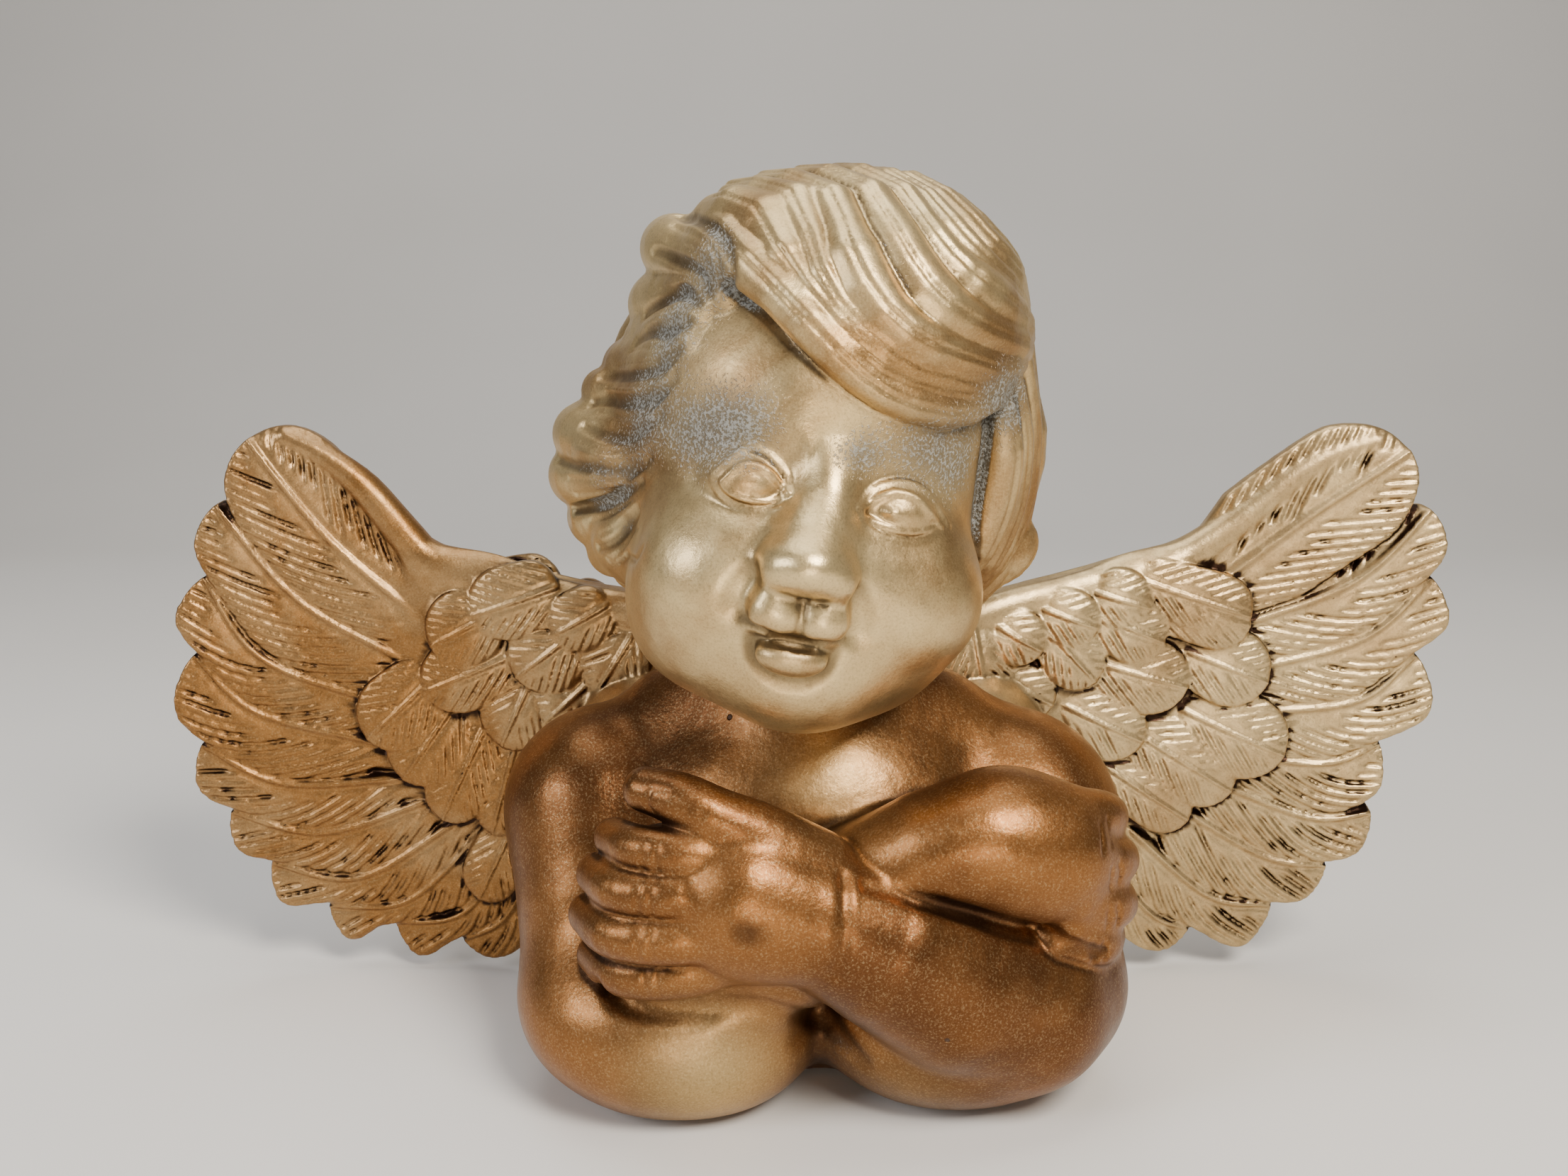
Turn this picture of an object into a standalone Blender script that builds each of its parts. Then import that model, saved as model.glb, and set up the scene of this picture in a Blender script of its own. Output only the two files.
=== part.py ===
"""A gilded cherub bust with folded arms and two feathered wings, as a glued assembly of resin castings.

The bust and the head are hollow castings. The head's underside takes the bust's neck, each wing laps the back
of a shoulder on two steel pins, a board closes the hollow underneath, and four felt pads carry the whole.
Run it with: blender --background --python part.py
"""

import math

import bmesh
import bpy
from mathutils import Euler, Matrix, Vector

MM = 0.001

# Driving dimensions, in metres
BUST_WIDTH = 0.140  # across the two upper arms
HEAD_HEIGHT = 0.110  # chin to crown, with the hair
WING_LENGTH = 0.130  # shoulder joint to the outermost feather
WING_THICKNESS = 0.009  # of the feathered blade
SHELL_WALL = 0.005  # least wall of the hollow castings
NECK_RADIUS = 0.0155  # spigot that the head is glued on
NECK_BORE_RADIUS = 0.009
NECK_SPIGOT_LENGTH = 0.020  # above the middle of the neck joint
PIN_RADIUS = 0.0015
PIN_LENGTH = 0.018
BOARD_LENGTH = 0.060  # oval board that closes the underside
BOARD_DEPTH = 0.030
BOARD_THICKNESS = 0.003
BOARD_LEDGE = 0.004  # rim of resin that the board is glued against
PAD_RADIUS = 0.0055
PAD_THICKNESS = 0.0015
CLEARANCE = 0.0003  # glue gap between touching pieces
VOXEL = 0.0018  # grain of the carved forms

# Sizes of the sculptor's drawing, in drawing units, which the driving dimensions scale
DRAWN_BUST_WIDTH = 140.0
DRAWN_HEAD_HEIGHT = 110.0
DRAWN_WING_LENGTH = 130.0

BUST_UNIT = BUST_WIDTH / DRAWN_BUST_WIDTH
HEAD_UNIT = HEAD_HEIGHT / DRAWN_HEAD_HEIGHT
WING_UNIT = WING_LENGTH / DRAWN_WING_LENGTH
BASE_Z = PAD_THICKNESS + CLEARANCE  # flat underside of the bust

# Joints between the castings, in metres, on the bust
NECK_JOINT = Vector((-3.0, -1.0, 88.0)) * BUST_UNIT
WING_JOINT = Vector((20.0, 20.0, 70.0)) * BUST_UNIT  # on the +X side
PIN_PLACES = ((40.0, 66.0), (42.0, 52.0))  # across and up, in bust drawing units
PIN_MIDDLE_Y = 19.0 * BUST_UNIT

# How the head sits: leaning to +X, turned a little, and looking slightly up
HEAD_TILT = Euler((math.radians(-6), math.radians(11), math.radians(8)), "XYZ")
HEAD_ORIGIN = Vector((-5.8, -2.4, 130.3))  # where the drawing's eye level crosses the skull's axis
HEAD_NECK = Vector((-3.0, -1.0, 88.0))  # the neck joint in the same drawing

# Bust masses: centre, radii, turn about Y in degrees
BUST_MASSES = (
    ((0, 2, 46), (48, 29, 42), 0),  # rib cage
    ((0, 4, 12), (46, 28, 24), 0),  # waist that meets the base
    ((-2, -12, 60), (33, 20, 18), 0),  # upper chest
    ((0, 3, 71), (40, 18, 11.5), 0),  # collar and nape muscles
    ((-46, 0, 54), (20.5, 21, 22), 0),  # shoulders
    ((45, 0, 53), (20, 21, 22), 0),
    ((-30, -27, 17.5), (31, 24, 20), 6),  # elbows on the table
    ((32, -26, 20), (32, 23, 21), -8),
    ((-18, -47, 53), (16, 12, 16), 0),  # back of the upper hand
    ((44, -39, 58), (21, 13, 16), 22),  # back of the lower hand
)

# Limbs: points along the bone with the radius at each
BUST_LIMBS = (
    (((-47, -3, 54), 19), ((-43, -18, 24), 19)),  # upper arms
    (((47, -3, 52), 18.5), ((46, -18, 24), 19)),
    (((40, -32, 24), 19), ((17, -42, 39.5), 16.5), ((0, -48, 49.4), 13.5), ((-15, -49, 53), 12.5)),  # upper forearm
    (((-28, -30, 22), 18), ((4, -35, 47), 14.5), ((22, -39, 60), 12), ((36, -40, 61), 12)),  # lower forearm
    (((-26, -53, 63), 5.2), ((-37, -50, 63), 5.2), ((-42.5, -42, 62.5), 4.8)),  # fingers on the left upper arm
    (((-27, -54, 56), 5.2), ((-40, -50, 55.5), 5.2), ((-45.5, -41, 55), 4.8)),
    (((-27, -54, 48.5), 5.3), ((-41, -49, 47.5), 5.2), ((-46.5, -40, 47), 4.8)),
    (((-25, -51, 41.5), 5), ((-38, -47, 39.5), 4.8), ((-44.5, -39, 38.5), 4.5)),
    (((-8, -47, 61), 6), ((-20, -49, 71), 5), ((-33, -44, 75), 4.6)),  # thumb
    (((54, -39, 66), 6), ((62, -29, 62), 5.4), ((65, -19, 59), 5)),  # fingers round the right upper arm
    (((55, -40, 58), 6), ((64, -29, 53), 5.4), ((67, -19, 50), 5)),
    (((55, -40, 50), 6), ((64, -30, 44), 5.4), ((67, -20, 41), 5)),
    (((53, -39, 43), 5.5), ((61, -31, 37), 5), ((64, -22, 34), 4.6)),
    (((0, 0, 70), 20), ((-3, -1, 90), 19)),  # neck
)

# Head masses, in the head's own axes with the face towards -Y
HEAD_MASSES = (
    ((-1, 2, 13), (38, 45, 42), 0),  # skull
    ((0, -11, -18), (34, 39, 33), 0),  # face
    ((-1, -14, 10), (31, 32, 26), 0),  # forehead
    ((-19, -29, -22), (15, 15, 15), 0),  # cheeks
    ((19, -29, -22), (15, 15, 15), 0),
    ((0, -36, -40), (13, 10, 9), 0),  # chin
    ((0, -56.5, -15.5), (6, 6, 5.5), 0),  # tip of the nose
    ((-5.2, -53, -16.5), (4, 5, 3.8), 0),  # nostril wings
    ((5.2, -53, -16.5), (4, 5, 3.8), 0),
    ((0, -48.5, -25.5), (9, 6, 4.5), 0),  # lips
    ((0, -47.5, -32), (8, 5.5, 4), 0),
    ((-13.8, -41.5, -4.5), (8.5, 6.5, 5.5), 0),  # eyes
    ((13.8, -41.5, -4.5), (8.5, 6.5, 5.5), 0),
    ((2, 7, 18), (40, 41, 42.5), 0),  # cap of hair
    ((-27, 20, 0), (22, 24, 32), 0),  # hair over the ears
    ((32, 16, 2), (22, 25, 34), 0),
    ((0, 24, -10), (36, 23, 34), 0),  # hair on the nape
)
HEAD_LIMBS = (
    (((0, -45, 4), 3), ((0, -50, -5), 3.6), ((0, -55, -13), 4.6)),  # bridge of the nose
    (  # fringe, swept from the parting across the forehead
        ((-30, -18, 44), 7), ((-22, -33, 37), 8), ((-8, -42, 28), 8), ((8, -45, 22), 8.5),
        ((24, -39, 22), 8.5), ((36, -28, 27), 7),
    ),
    (((-28, -14, 45.5), 7.5), ((-12, -29, 41), 10), ((8, -36, 34), 11), ((26, -31, 31), 10), ((39, -19, 30), 7)),
    (((-24, -8, 47.5), 8), ((-4, -19, 46), 11), ((16, -24, 41), 11), ((32, -18, 34), 9), ((42, -6, 26), 7)),
    (((-18, 0, 49), 8), ((4, -8, 49), 10.5), ((22, -11, 44), 11), ((36, -5, 34), 9), ((45, 5, 20), 7)),
    (((-31, -21, 34), 5.5), ((-36, -10, 28), 5.5), ((-37, 6, 25), 5.5)),  # locks at the left temple
    (((-31, -21, 23), 5.5), ((-37, -8, 15), 5.5), ((-41, 10, 13), 5.5)),
    (((-31, -19, 11), 5.5), ((-39, -4, 3), 5.5), ((-45, 14, 1), 5)),
    (((-32, -16, -1), 5.5), ((-41, 0, -8), 5.5), ((-46, 16, -10), 4.5)),
    (((-33, -12, -13), 5), ((-40, 4, -19), 5), ((-41, 14, -23), 4.5)),
    (((37, -20, 18), 6), ((46, -6, 12), 7), ((50, 6, 0), 6.5)),  # locks behind the right cheek
    (((36, -16, 4), 6), ((47, -2, -4), 6.5), ((47, 8, -18), 5.5)),
    (((34, -12, -8), 6), ((42, 2, -20), 6), ((36, 12, -30), 5)),
)

# Wing feathers on each side: root, middle and tip of the shaft across and up, and the blade's half width
LEFT_QUILLS = (
    ((90, 88), (111, 107), (129, 131), 10.5),
    ((94, 78), (119, 93), (139, 118), 9.5),
    ((100, 68), (129, 79), (145, 101), 9.0),
    ((100, 58), (131, 66), (149, 82), 9.0),
    ((96, 50), (126, 48), (148, 60), 9.0),
    ((90, 45), (117, 35), (142, 42), 8.5),
    ((84, 40), (109, 23), (133, 26), 8.5),
    ((76, 40), (97, 17), (119, 13), 8.0),
    ((70, 36), (84, 14), (102, 8), 7.5),
    ((66, 32), (74, 13), (85, 6), 7.0),
)
RIGHT_QUILLS = (
    ((90, 94), (115, 114), (138, 130), 10.5),
    ((96, 86), (126, 98), (146, 118), 10.0),
    ((100, 76), (130, 84), (148, 101), 9.5),
    ((102, 66), (131, 69), (147, 82), 10.5),
    ((98, 56), (124, 53), (138, 59), 10.0),
    ((94, 50), (121, 39), (138, 40), 8.5),
    ((86, 44), (110, 28), (127, 24), 8.5),
    ((76, 38), (96, 18), (114, 13), 8.0),
    ((68, 34), (82, 13), (93, 7), 7.5),
)
# Covert plumage and the leading edge, as masses and a limb in the same plane: across, up and radii
COVERT_MASSES = (((72, 62), (36, 34)), ((52, 66), (30, 28)), ((38, 72), (13, 20)))
WING_BOSS = ((38, -7, 60), (16, 11, 17))  # lug that laps the back of the shoulder
LEADING_EDGE = (((38, 84), 8), ((62, 88), 10), ((86, 91), 10), ((102, 106), 9))
WING_SWEEP = (0.0, 40.0, -30.0)  # setback of the blade as a quadratic of the share of its length


def clear_scene():
    for old in list(bpy.data.objects):
        bpy.data.objects.remove(old, do_unlink=True)


def new_collection(name, shown=True):
    collection = bpy.data.collections.new(name)
    collection.hide_render = not shown
    bpy.context.scene.collection.children.link(collection)
    return collection


def make_material(name, colour, roughness, metallic):
    material = bpy.data.materials.new(name)
    material.use_nodes = True
    shader = material.node_tree.nodes["Principled BSDF"]
    shader.inputs["Base Color"].default_value = (*colour, 1.0)
    shader.inputs["Roughness"].default_value = roughness
    shader.inputs["Metallic"].default_value = metallic
    return material


def object_from(name, bm, collection):
    mesh = bpy.data.meshes.new(name)
    bm.to_mesh(mesh)
    bm.free()
    made = bpy.data.objects.new(name, mesh)
    collection.objects.link(made)
    return made


def add_ellipsoid(bm, centre, radii, turn=0.0, sides=24):
    """Adds a closed ellipsoid, turned about Y by turn degrees."""
    size = Matrix.Diagonal((*radii, 1.0))
    place = Matrix.Translation(centre) @ Matrix.Rotation(math.radians(turn), 4, "Y") @ size
    bmesh.ops.create_uvsphere(bm, u_segments=sides, v_segments=sides // 2, radius=1.0, matrix=place)


def add_limb(bm, joints):
    """Adds a round tapering limb: a ball at each joint and a cone between neighbours."""
    for centre, radius in joints:
        add_ellipsoid(bm, centre, (radius, radius, radius), sides=16)
    for (start, first), (end, last) in zip(joints, joints[1:]):
        bone = Vector(end) - Vector(start)
        place = Matrix.Translation((Vector(start) + Vector(end)) / 2) @ bone.to_track_quat("Z", "Y").to_matrix().to_4x4()
        bmesh.ops.create_cone(
            bm, cap_ends=True, segments=16, radius1=first, radius2=last, depth=bone.length, matrix=place
        )


def carved(name, bm, unit, triangles, collection, smoothing=4, voxel=VOXEL):
    """Merges the overlapping lumps of a drawing into one skin with about that many triangles."""
    bmesh.ops.scale(bm, vec=(unit, unit, unit), verts=bm.verts)
    rough = object_from(name + "_lumps", bm, collection)
    remesh = rough.modifiers.new("merge", "REMESH")
    remesh.mode = "VOXEL"
    remesh.voxel_size = voxel
    smooth = rough.modifiers.new("soften", "SMOOTH")
    smooth.factor = 0.5
    smooth.iterations = smoothing
    full = faces_of(rough)
    decimate = rough.modifiers.new("thin out", "DECIMATE")
    decimate.ratio = min(1.0, triangles / (2 * full))
    mesh = evaluated_mesh(rough)
    mesh.name = name
    bpy.data.objects.remove(rough, do_unlink=True)
    made = bpy.data.objects.new(name, mesh)
    collection.objects.link(made)
    return made


def evaluated_mesh(obj):
    bpy.context.view_layer.update()
    graph = bpy.context.evaluated_depsgraph_get()
    return bpy.data.meshes.new_from_object(obj.evaluated_get(graph))


def faces_of(obj):
    return len(evaluated_mesh(obj).polygons)


def cutter(obj):
    obj.hide_render = True
    obj.display_type = "WIRE"
    return obj


def grown(obj, by, collection):
    """A copy of a solid's skin moved outwards, which cuts a clearance round it."""
    copy = bpy.data.objects.new(obj.name + "_clearance", obj.data.copy())
    collection.objects.link(copy)
    swell = copy.modifiers.new("clearance", "DISPLACE")
    swell.strength = by
    swell.mid_level = 0.0
    return cutter(copy)


def boolean(obj, other, operation="DIFFERENCE"):
    modifier = obj.modifiers.new(other.name, "BOOLEAN")
    modifier.operation = operation
    modifier.object = other


def cylinder(name, collection, radius, start, end, sides=32, stretch=1.0):
    """A cylinder from start to end. Its section is an oval when stretch is not 1."""
    axis = Vector(end) - Vector(start)
    bm = bmesh.new()
    turn = axis.to_track_quat("Z", "Y").to_matrix().to_4x4()
    bmesh.ops.create_cone(
        bm,
        cap_ends=True,
        segments=sides,
        radius1=radius,
        radius2=radius,
        depth=axis.length,
        matrix=Matrix.Translation((Vector(start) + Vector(end)) / 2) @ turn @ Matrix.Diagonal((1, stretch, 1, 1)),
    )
    return object_from(name, bm, collection)


def head_placed(point):
    """A point of the head's drawing, in metres on the finished object."""
    leaned = HEAD_TILT.to_matrix() @ Vector(point) + HEAD_ORIGIN - HEAD_NECK
    return leaned * HEAD_UNIT + NECK_JOINT


def head_frame():
    return Matrix.Translation(NECK_JOINT + (HEAD_ORIGIN - HEAD_NECK) * HEAD_UNIT) @ HEAD_TILT.to_matrix().to_4x4()


def bust_skin(collection):
    bm = bmesh.new()
    for centre, radii, turn in BUST_MASSES:
        add_ellipsoid(bm, centre, radii, turn)
    for joints in BUST_LIMBS:
        add_limb(bm, joints)
    return carved("bust_shell", bm, BUST_UNIT, 3100, collection, smoothing=3)


def head_skin(collection):
    bm = bmesh.new()
    for centre, radii, turn in HEAD_MASSES:
        add_ellipsoid(bm, centre, radii, turn)
    for joints in HEAD_LIMBS:
        add_limb(bm, joints)
    skin = carved("head_shell", bm, HEAD_UNIT, 2700, collection, smoothing=3)
    skin.data.transform(head_frame())
    return skin


def hollow_bust(bust, cutters):
    """Cuts the flat underside, the hollow, its mouth and the ledge for the board."""
    below = 60 * MM
    wide = 2 * BUST_WIDTH
    bm = bmesh.new()
    bmesh.ops.create_cube(bm, size=1.0, matrix=Matrix.Diagonal((wide, wide, below, 1)))
    floor = cutter(object_from("floor_cut", bm, cutters))
    floor.location.z = BASE_Z - below / 2
    boolean(bust, floor)

    ribs_centre, ribs_radii, _ = BUST_MASSES[0]
    bm = bmesh.new()
    radii = [r * BUST_UNIT - SHELL_WALL * share for r, share in zip(ribs_radii, (1, 1, 2))]
    add_ellipsoid(bm, Vector(ribs_centre) * BUST_UNIT, radii, sides=20)
    boolean(bust, cutter(object_from("bust_hollow", bm, cutters)))

    hollow_middle = ribs_centre[2] * BUST_UNIT
    mouth_length = BOARD_LENGTH / 2 - BOARD_LEDGE
    mouth_depth = BOARD_DEPTH / 2 - BOARD_LEDGE
    mouth = cylinder(
        "mouth_cut", cutters, mouth_length, (0, 0, BASE_Z - 5 * MM), (0, 0, hollow_middle),
        stretch=mouth_depth / mouth_length,
    )
    boolean(bust, cutter(mouth))
    ledge_length = BOARD_LENGTH / 2 + CLEARANCE
    ledge_depth = BOARD_DEPTH / 2 + CLEARANCE
    ledge = cylinder(
        "ledge_cut", cutters, ledge_length, (0, 0, BASE_Z - 5 * MM), (0, 0, BASE_Z + BOARD_THICKNESS + CLEARANCE),
        stretch=ledge_depth / ledge_length,
    )
    boolean(bust, cutter(ledge))


def neck_joint(bust, head, cutters):
    """The bust's hollow spigot and the socket it fills in the head."""
    up = (HEAD_TILT.to_matrix() @ Vector((0, 0, 1))).normalized()
    foot = NECK_JOINT - up * 14 * MM
    top = NECK_JOINT + up * NECK_SPIGOT_LENGTH
    spigot = cylinder("neck_spigot", cutters, NECK_RADIUS, foot, top)
    boolean(bust, cutter(spigot), "UNION")
    middle = Vector((0, 2, 55)) * BUST_UNIT
    bore = cylinder("neck_bore", cutters, NECK_BORE_RADIUS, middle, top + up * MM)
    boolean(bust, cutter(bore))

    socket = cylinder(
        "neck_socket", cutters, NECK_RADIUS + CLEARANCE, NECK_JOINT - up * 40 * MM, top + up * CLEARANCE
    )
    skull_centre, skull_radii, _ = HEAD_MASSES[0]
    bm = bmesh.new()
    radii = [r * HEAD_UNIT - SHELL_WALL for r in skull_radii]
    add_ellipsoid(bm, Vector(skull_centre) * HEAD_UNIT, radii, sides=20)
    hollow = object_from("head_hollow", bm, cutters)
    hollow.data.transform(head_frame())
    boolean(head, cutter(hollow))
    vent = cylinder("head_vent", cutters, NECK_BORE_RADIUS, NECK_JOINT, head_placed(skull_centre))
    boolean(head, cutter(vent))
    boolean(head, cutter(socket))


def sweep_back(across):
    """How far behind its root the blade's middle lies, in drawing units."""
    share = (across - WING_JOINT.x / BUST_UNIT) / DRAWN_WING_LENGTH
    a, b, c = WING_SWEEP
    return a + b * share + c * share * share


def add_blade(bm, start, end, half_width, thickness):
    """Adds a flat blunt-ended feather between two points of the wing's plane."""
    before = set(bm.verts)
    bmesh.ops.create_uvsphere(bm, u_segments=16, v_segments=12, radius=1.0)
    run = Vector((end[0] - start[0], 0, end[1] - start[1]))
    middle = Vector(((start[0] + end[0]) / 2, 0, (start[1] + end[1]) / 2))
    lean = math.atan2(run.x, run.z)
    place = Matrix.Translation(middle) @ Matrix.Rotation(lean, 4, "Y")
    for vert in set(bm.verts) - before:
        along = max(-1.0, min(1.0, vert.co.z))
        round_end = math.sqrt(max(1e-9, 1 - along * along))
        blunt_end = math.sqrt(max(1e-9, 1 - along**4))
        fuller = blunt_end / max(round_end, 0.05)
        vert.co.x *= half_width * fuller
        vert.co.y *= thickness / 2 * fuller
        vert.co.z *= run.length / 2
        vert.co = place @ vert.co


def wing(name, side, quills, collection):
    """A wing casting: coverts, a leading edge and a fan of flight feathers on one swept blade."""
    thickness = WING_THICKNESS / WING_UNIT
    bm = bmesh.new()
    for (across, up), (wide, tall) in COVERT_MASSES:
        add_ellipsoid(bm, (across, 0, up), (wide, thickness * 0.62, tall), sides=20)
    add_ellipsoid(bm, *WING_BOSS, sides=20)
    add_limb(bm, [((across, 0, up), min(radius, thickness * 0.62)) for (across, up), radius in LEADING_EDGE])
    for (root, middle, tip, half_width) in quills:
        add_blade(bm, root, middle, half_width, thickness)
        tip_share = (Vector(tip) - Vector(middle)).length / (Vector(middle) - Vector(root)).length
        back = Vector(middle) + (Vector(root) - Vector(middle)) * 0.5 * tip_share
        add_blade(bm, back, tip, half_width, thickness * 0.8)
    origin = WING_JOINT / BUST_UNIT
    for vert in bm.verts:
        vert.co.y += sweep_back(vert.co.x)
        vert.co -= Vector((origin.x, 0, origin.z))
    blade = carved(name, bm, WING_UNIT, 1250, collection, smoothing=2)
    blade.data.transform(Matrix.Translation(WING_JOINT))
    if side < 0:
        blade.data.transform(Matrix.Diagonal((-1, 1, 1, 1)))
        blade.data.flip_normals()
    return blade


def pin_ends(side, place, extra=0.0):
    across, up = place
    x, z = side * across * BUST_UNIT, up * BUST_UNIT
    half = PIN_LENGTH / 2 + extra
    return (x, PIN_MIDDLE_Y - half, z), (x, PIN_MIDDLE_Y + half, z)


def pin_joint(side, side_name, bust, blade, steel, parts, cutters):
    """Two steel pins that lap a wing's root to the back of the shoulder, and the blind holes they fill."""
    for place, level in zip(PIN_PLACES, ("upper", "lower")):
        pin = cylinder(f"wing_pin_{side_name}_{level}", parts, PIN_RADIUS, *pin_ends(side, place), sides=20)
        pin.data.materials.append(steel)
        hole = cylinder(
            pin.name + "_hole", cutters, PIN_RADIUS + CLEARANCE, *pin_ends(side, place, CLEARANCE), sides=20
        )
        cutter(hole)
        boolean(bust, hole)
        boolean(blade, hole)


def base_board(parts, material):
    board = cylinder(
        "base_board", parts, BOARD_LENGTH / 2, (0, 0, BASE_Z), (0, 0, BASE_Z + BOARD_THICKNESS),
        sides=48, stretch=BOARD_DEPTH / BOARD_LENGTH,
    )
    board.data.materials.append(material)


def felt_pads(parts, material):
    """A pad under each elbow and two under the back edge."""
    left_elbow, right_elbow = BUST_MASSES[6][0], BUST_MASSES[7][0]
    places = {
        "felt_pad_front_left": left_elbow[:2],
        "felt_pad_front_right": right_elbow[:2],
        "felt_pad_back_left": (-27, 14),
        "felt_pad_back_right": (27, 14),
    }
    for name, (across, back) in places.items():
        x, y = across * BUST_UNIT, back * BUST_UNIT
        pad = cylinder(name, parts, PAD_RADIUS, (x, y, 0), (x, y, PAD_THICKNESS), sides=28)
        pad.data.materials.append(material)


def centre_depth(parts):
    """Moves the whole so that its box is centred on the origin from front to back."""
    bpy.context.view_layer.update()
    depths = [(o.matrix_world @ v.co).y for o in parts.objects for v in o.data.vertices]
    middle = (min(depths) + max(depths)) / 2
    for obj in list(bpy.data.objects):
        obj.location.y -= middle
    print(f"depth {max(depths) - min(depths):.4f} m, moved {-middle:.4f} m")


def main():
    clear_scene()
    parts = new_collection("cherub_bust")
    cutters = new_collection("cutters", shown=False)
    gilt = make_material("gilt_resin", (0.55, 0.40, 0.20), 0.38, 0.75)
    steel = make_material("pin_steel", (0.60, 0.60, 0.62), 0.35, 1.0)
    hardboard = make_material("hardboard", (0.30, 0.19, 0.11), 0.8, 0.0)
    felt = make_material("felt", (0.10, 0.16, 0.11), 0.95, 0.0)

    bust = bust_skin(parts)
    head = head_skin(parts)
    wings = {
        "left": (-1, wing("wing_left", -1, LEFT_QUILLS, parts)),
        "right": (1, wing("wing_right", 1, RIGHT_QUILLS, parts)),
    }
    bust_clearance = grown(bust, CLEARANCE * 1.5, cutters)
    head_clearance = grown(head, CLEARANCE * 1.5, cutters)
    boolean(bust, head_clearance)
    for side, blade in wings.values():
        boolean(blade, bust_clearance)
        boolean(blade, head_clearance)
    neck_joint(bust, head, cutters)
    hollow_bust(bust, cutters)
    for side_name, (side, blade) in wings.items():
        pin_joint(side, side_name, bust, blade, steel, parts, cutters)
    for casting in (bust, head, *(blade for _, blade in wings.values())):
        casting.data.materials.clear()
        casting.data.materials.append(gilt)
        casting.data.shade_smooth()
    base_board(parts, hardboard)
    felt_pads(parts, felt)
    centre_depth(parts)


main()
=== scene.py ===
# %% [markdown]
# # A gilded cherub bust
# The real thing is a shelf ornament: a winged child with folded arms, cast in resin and sprayed with satin
# gold paint. The castings were first modelled in clay, so this scene works like a clay modeller. It builds
# soft masses, presses lines into them and takes a skin off the result.
#
# The imported frame gives the sizes: where the bust, head and wings are.

# %% Load the frame
import math
from functools import partial

import bpy
import numpy as np
import openvdb
from mathutils import Euler, Matrix, Vector


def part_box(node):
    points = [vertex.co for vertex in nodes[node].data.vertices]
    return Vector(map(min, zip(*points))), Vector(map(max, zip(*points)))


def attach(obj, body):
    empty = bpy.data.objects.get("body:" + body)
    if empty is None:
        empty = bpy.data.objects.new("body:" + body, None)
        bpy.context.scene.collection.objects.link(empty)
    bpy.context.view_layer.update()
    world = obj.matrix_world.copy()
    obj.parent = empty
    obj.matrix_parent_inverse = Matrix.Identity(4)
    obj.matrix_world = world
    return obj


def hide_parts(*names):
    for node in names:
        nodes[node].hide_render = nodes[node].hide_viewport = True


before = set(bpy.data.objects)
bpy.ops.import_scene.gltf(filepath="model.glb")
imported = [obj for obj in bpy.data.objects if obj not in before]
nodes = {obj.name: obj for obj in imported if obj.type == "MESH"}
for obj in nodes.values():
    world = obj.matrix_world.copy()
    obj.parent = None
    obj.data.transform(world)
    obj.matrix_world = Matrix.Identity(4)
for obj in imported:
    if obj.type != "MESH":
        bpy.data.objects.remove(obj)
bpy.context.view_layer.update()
MM = 0.001
PAD_DRAWN_Y = -27.0  # where the sculptor's drawing puts the front left pad, front to back
pad_low, pad_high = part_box("felt_pad_front_left")
SHIFT_Y = (pad_low.y + pad_high.y) / 2 - PAD_DRAWN_Y * MM  # from the drawing to the frame
BASE_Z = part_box("base_board")[0].z / MM  # the flat underside of the bust
print(f"drawing moved back {SHIFT_Y / MM:.2f} mm, underside at {BASE_Z:.2f} mm")

# %% [markdown]
# ## Clay
# A block of clay is a grid of samples. Each sample holds its distance in millimetres to the modelled
# surface, negative inside. Two masses merge where the smaller distance wins, and a soft minimum rounds
# the crease between them, as a thumb does. That is why this way was chosen for flesh and hair: their
# forms melt into each other, which polygons pushed about by hand do poorly.

# %% Soft joins
FAR = 9.0  # millimetres past which a sample no longer needs to know its distance


def soft_min(a, b, soft):
    """The smaller of two distances, with the crease rounded over about that many millimetres."""
    if soft <= 0:
        return np.minimum(a, b)
    near = np.maximum(soft - np.abs(a - b), 0) / soft
    return np.minimum(a, b) - near * near * soft / 4


def smooth_path(points, count=14):
    """A path through the points with rounded corners (a Catmull-Rom spline)."""
    points = np.array(points, np.float32)
    if len(points) < 3:
        return points
    ends = np.vstack([2 * points[0] - points[1], points, 2 * points[-1] - points[-2]])
    made = []
    for t in np.linspace(0, len(points) - 1 - 1e-6, count):
        k, u = int(t), t - int(t)
        a, b, c, d = ends[k : k + 4]
        made.append(
            0.5 * (
                2 * b + (c - a) * u + (2 * a - 5 * b + 4 * c - d) * u**2 + (3 * b - a - 3 * c + d) * u**3
            )
        )
    return np.array(made, np.float32)


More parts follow.
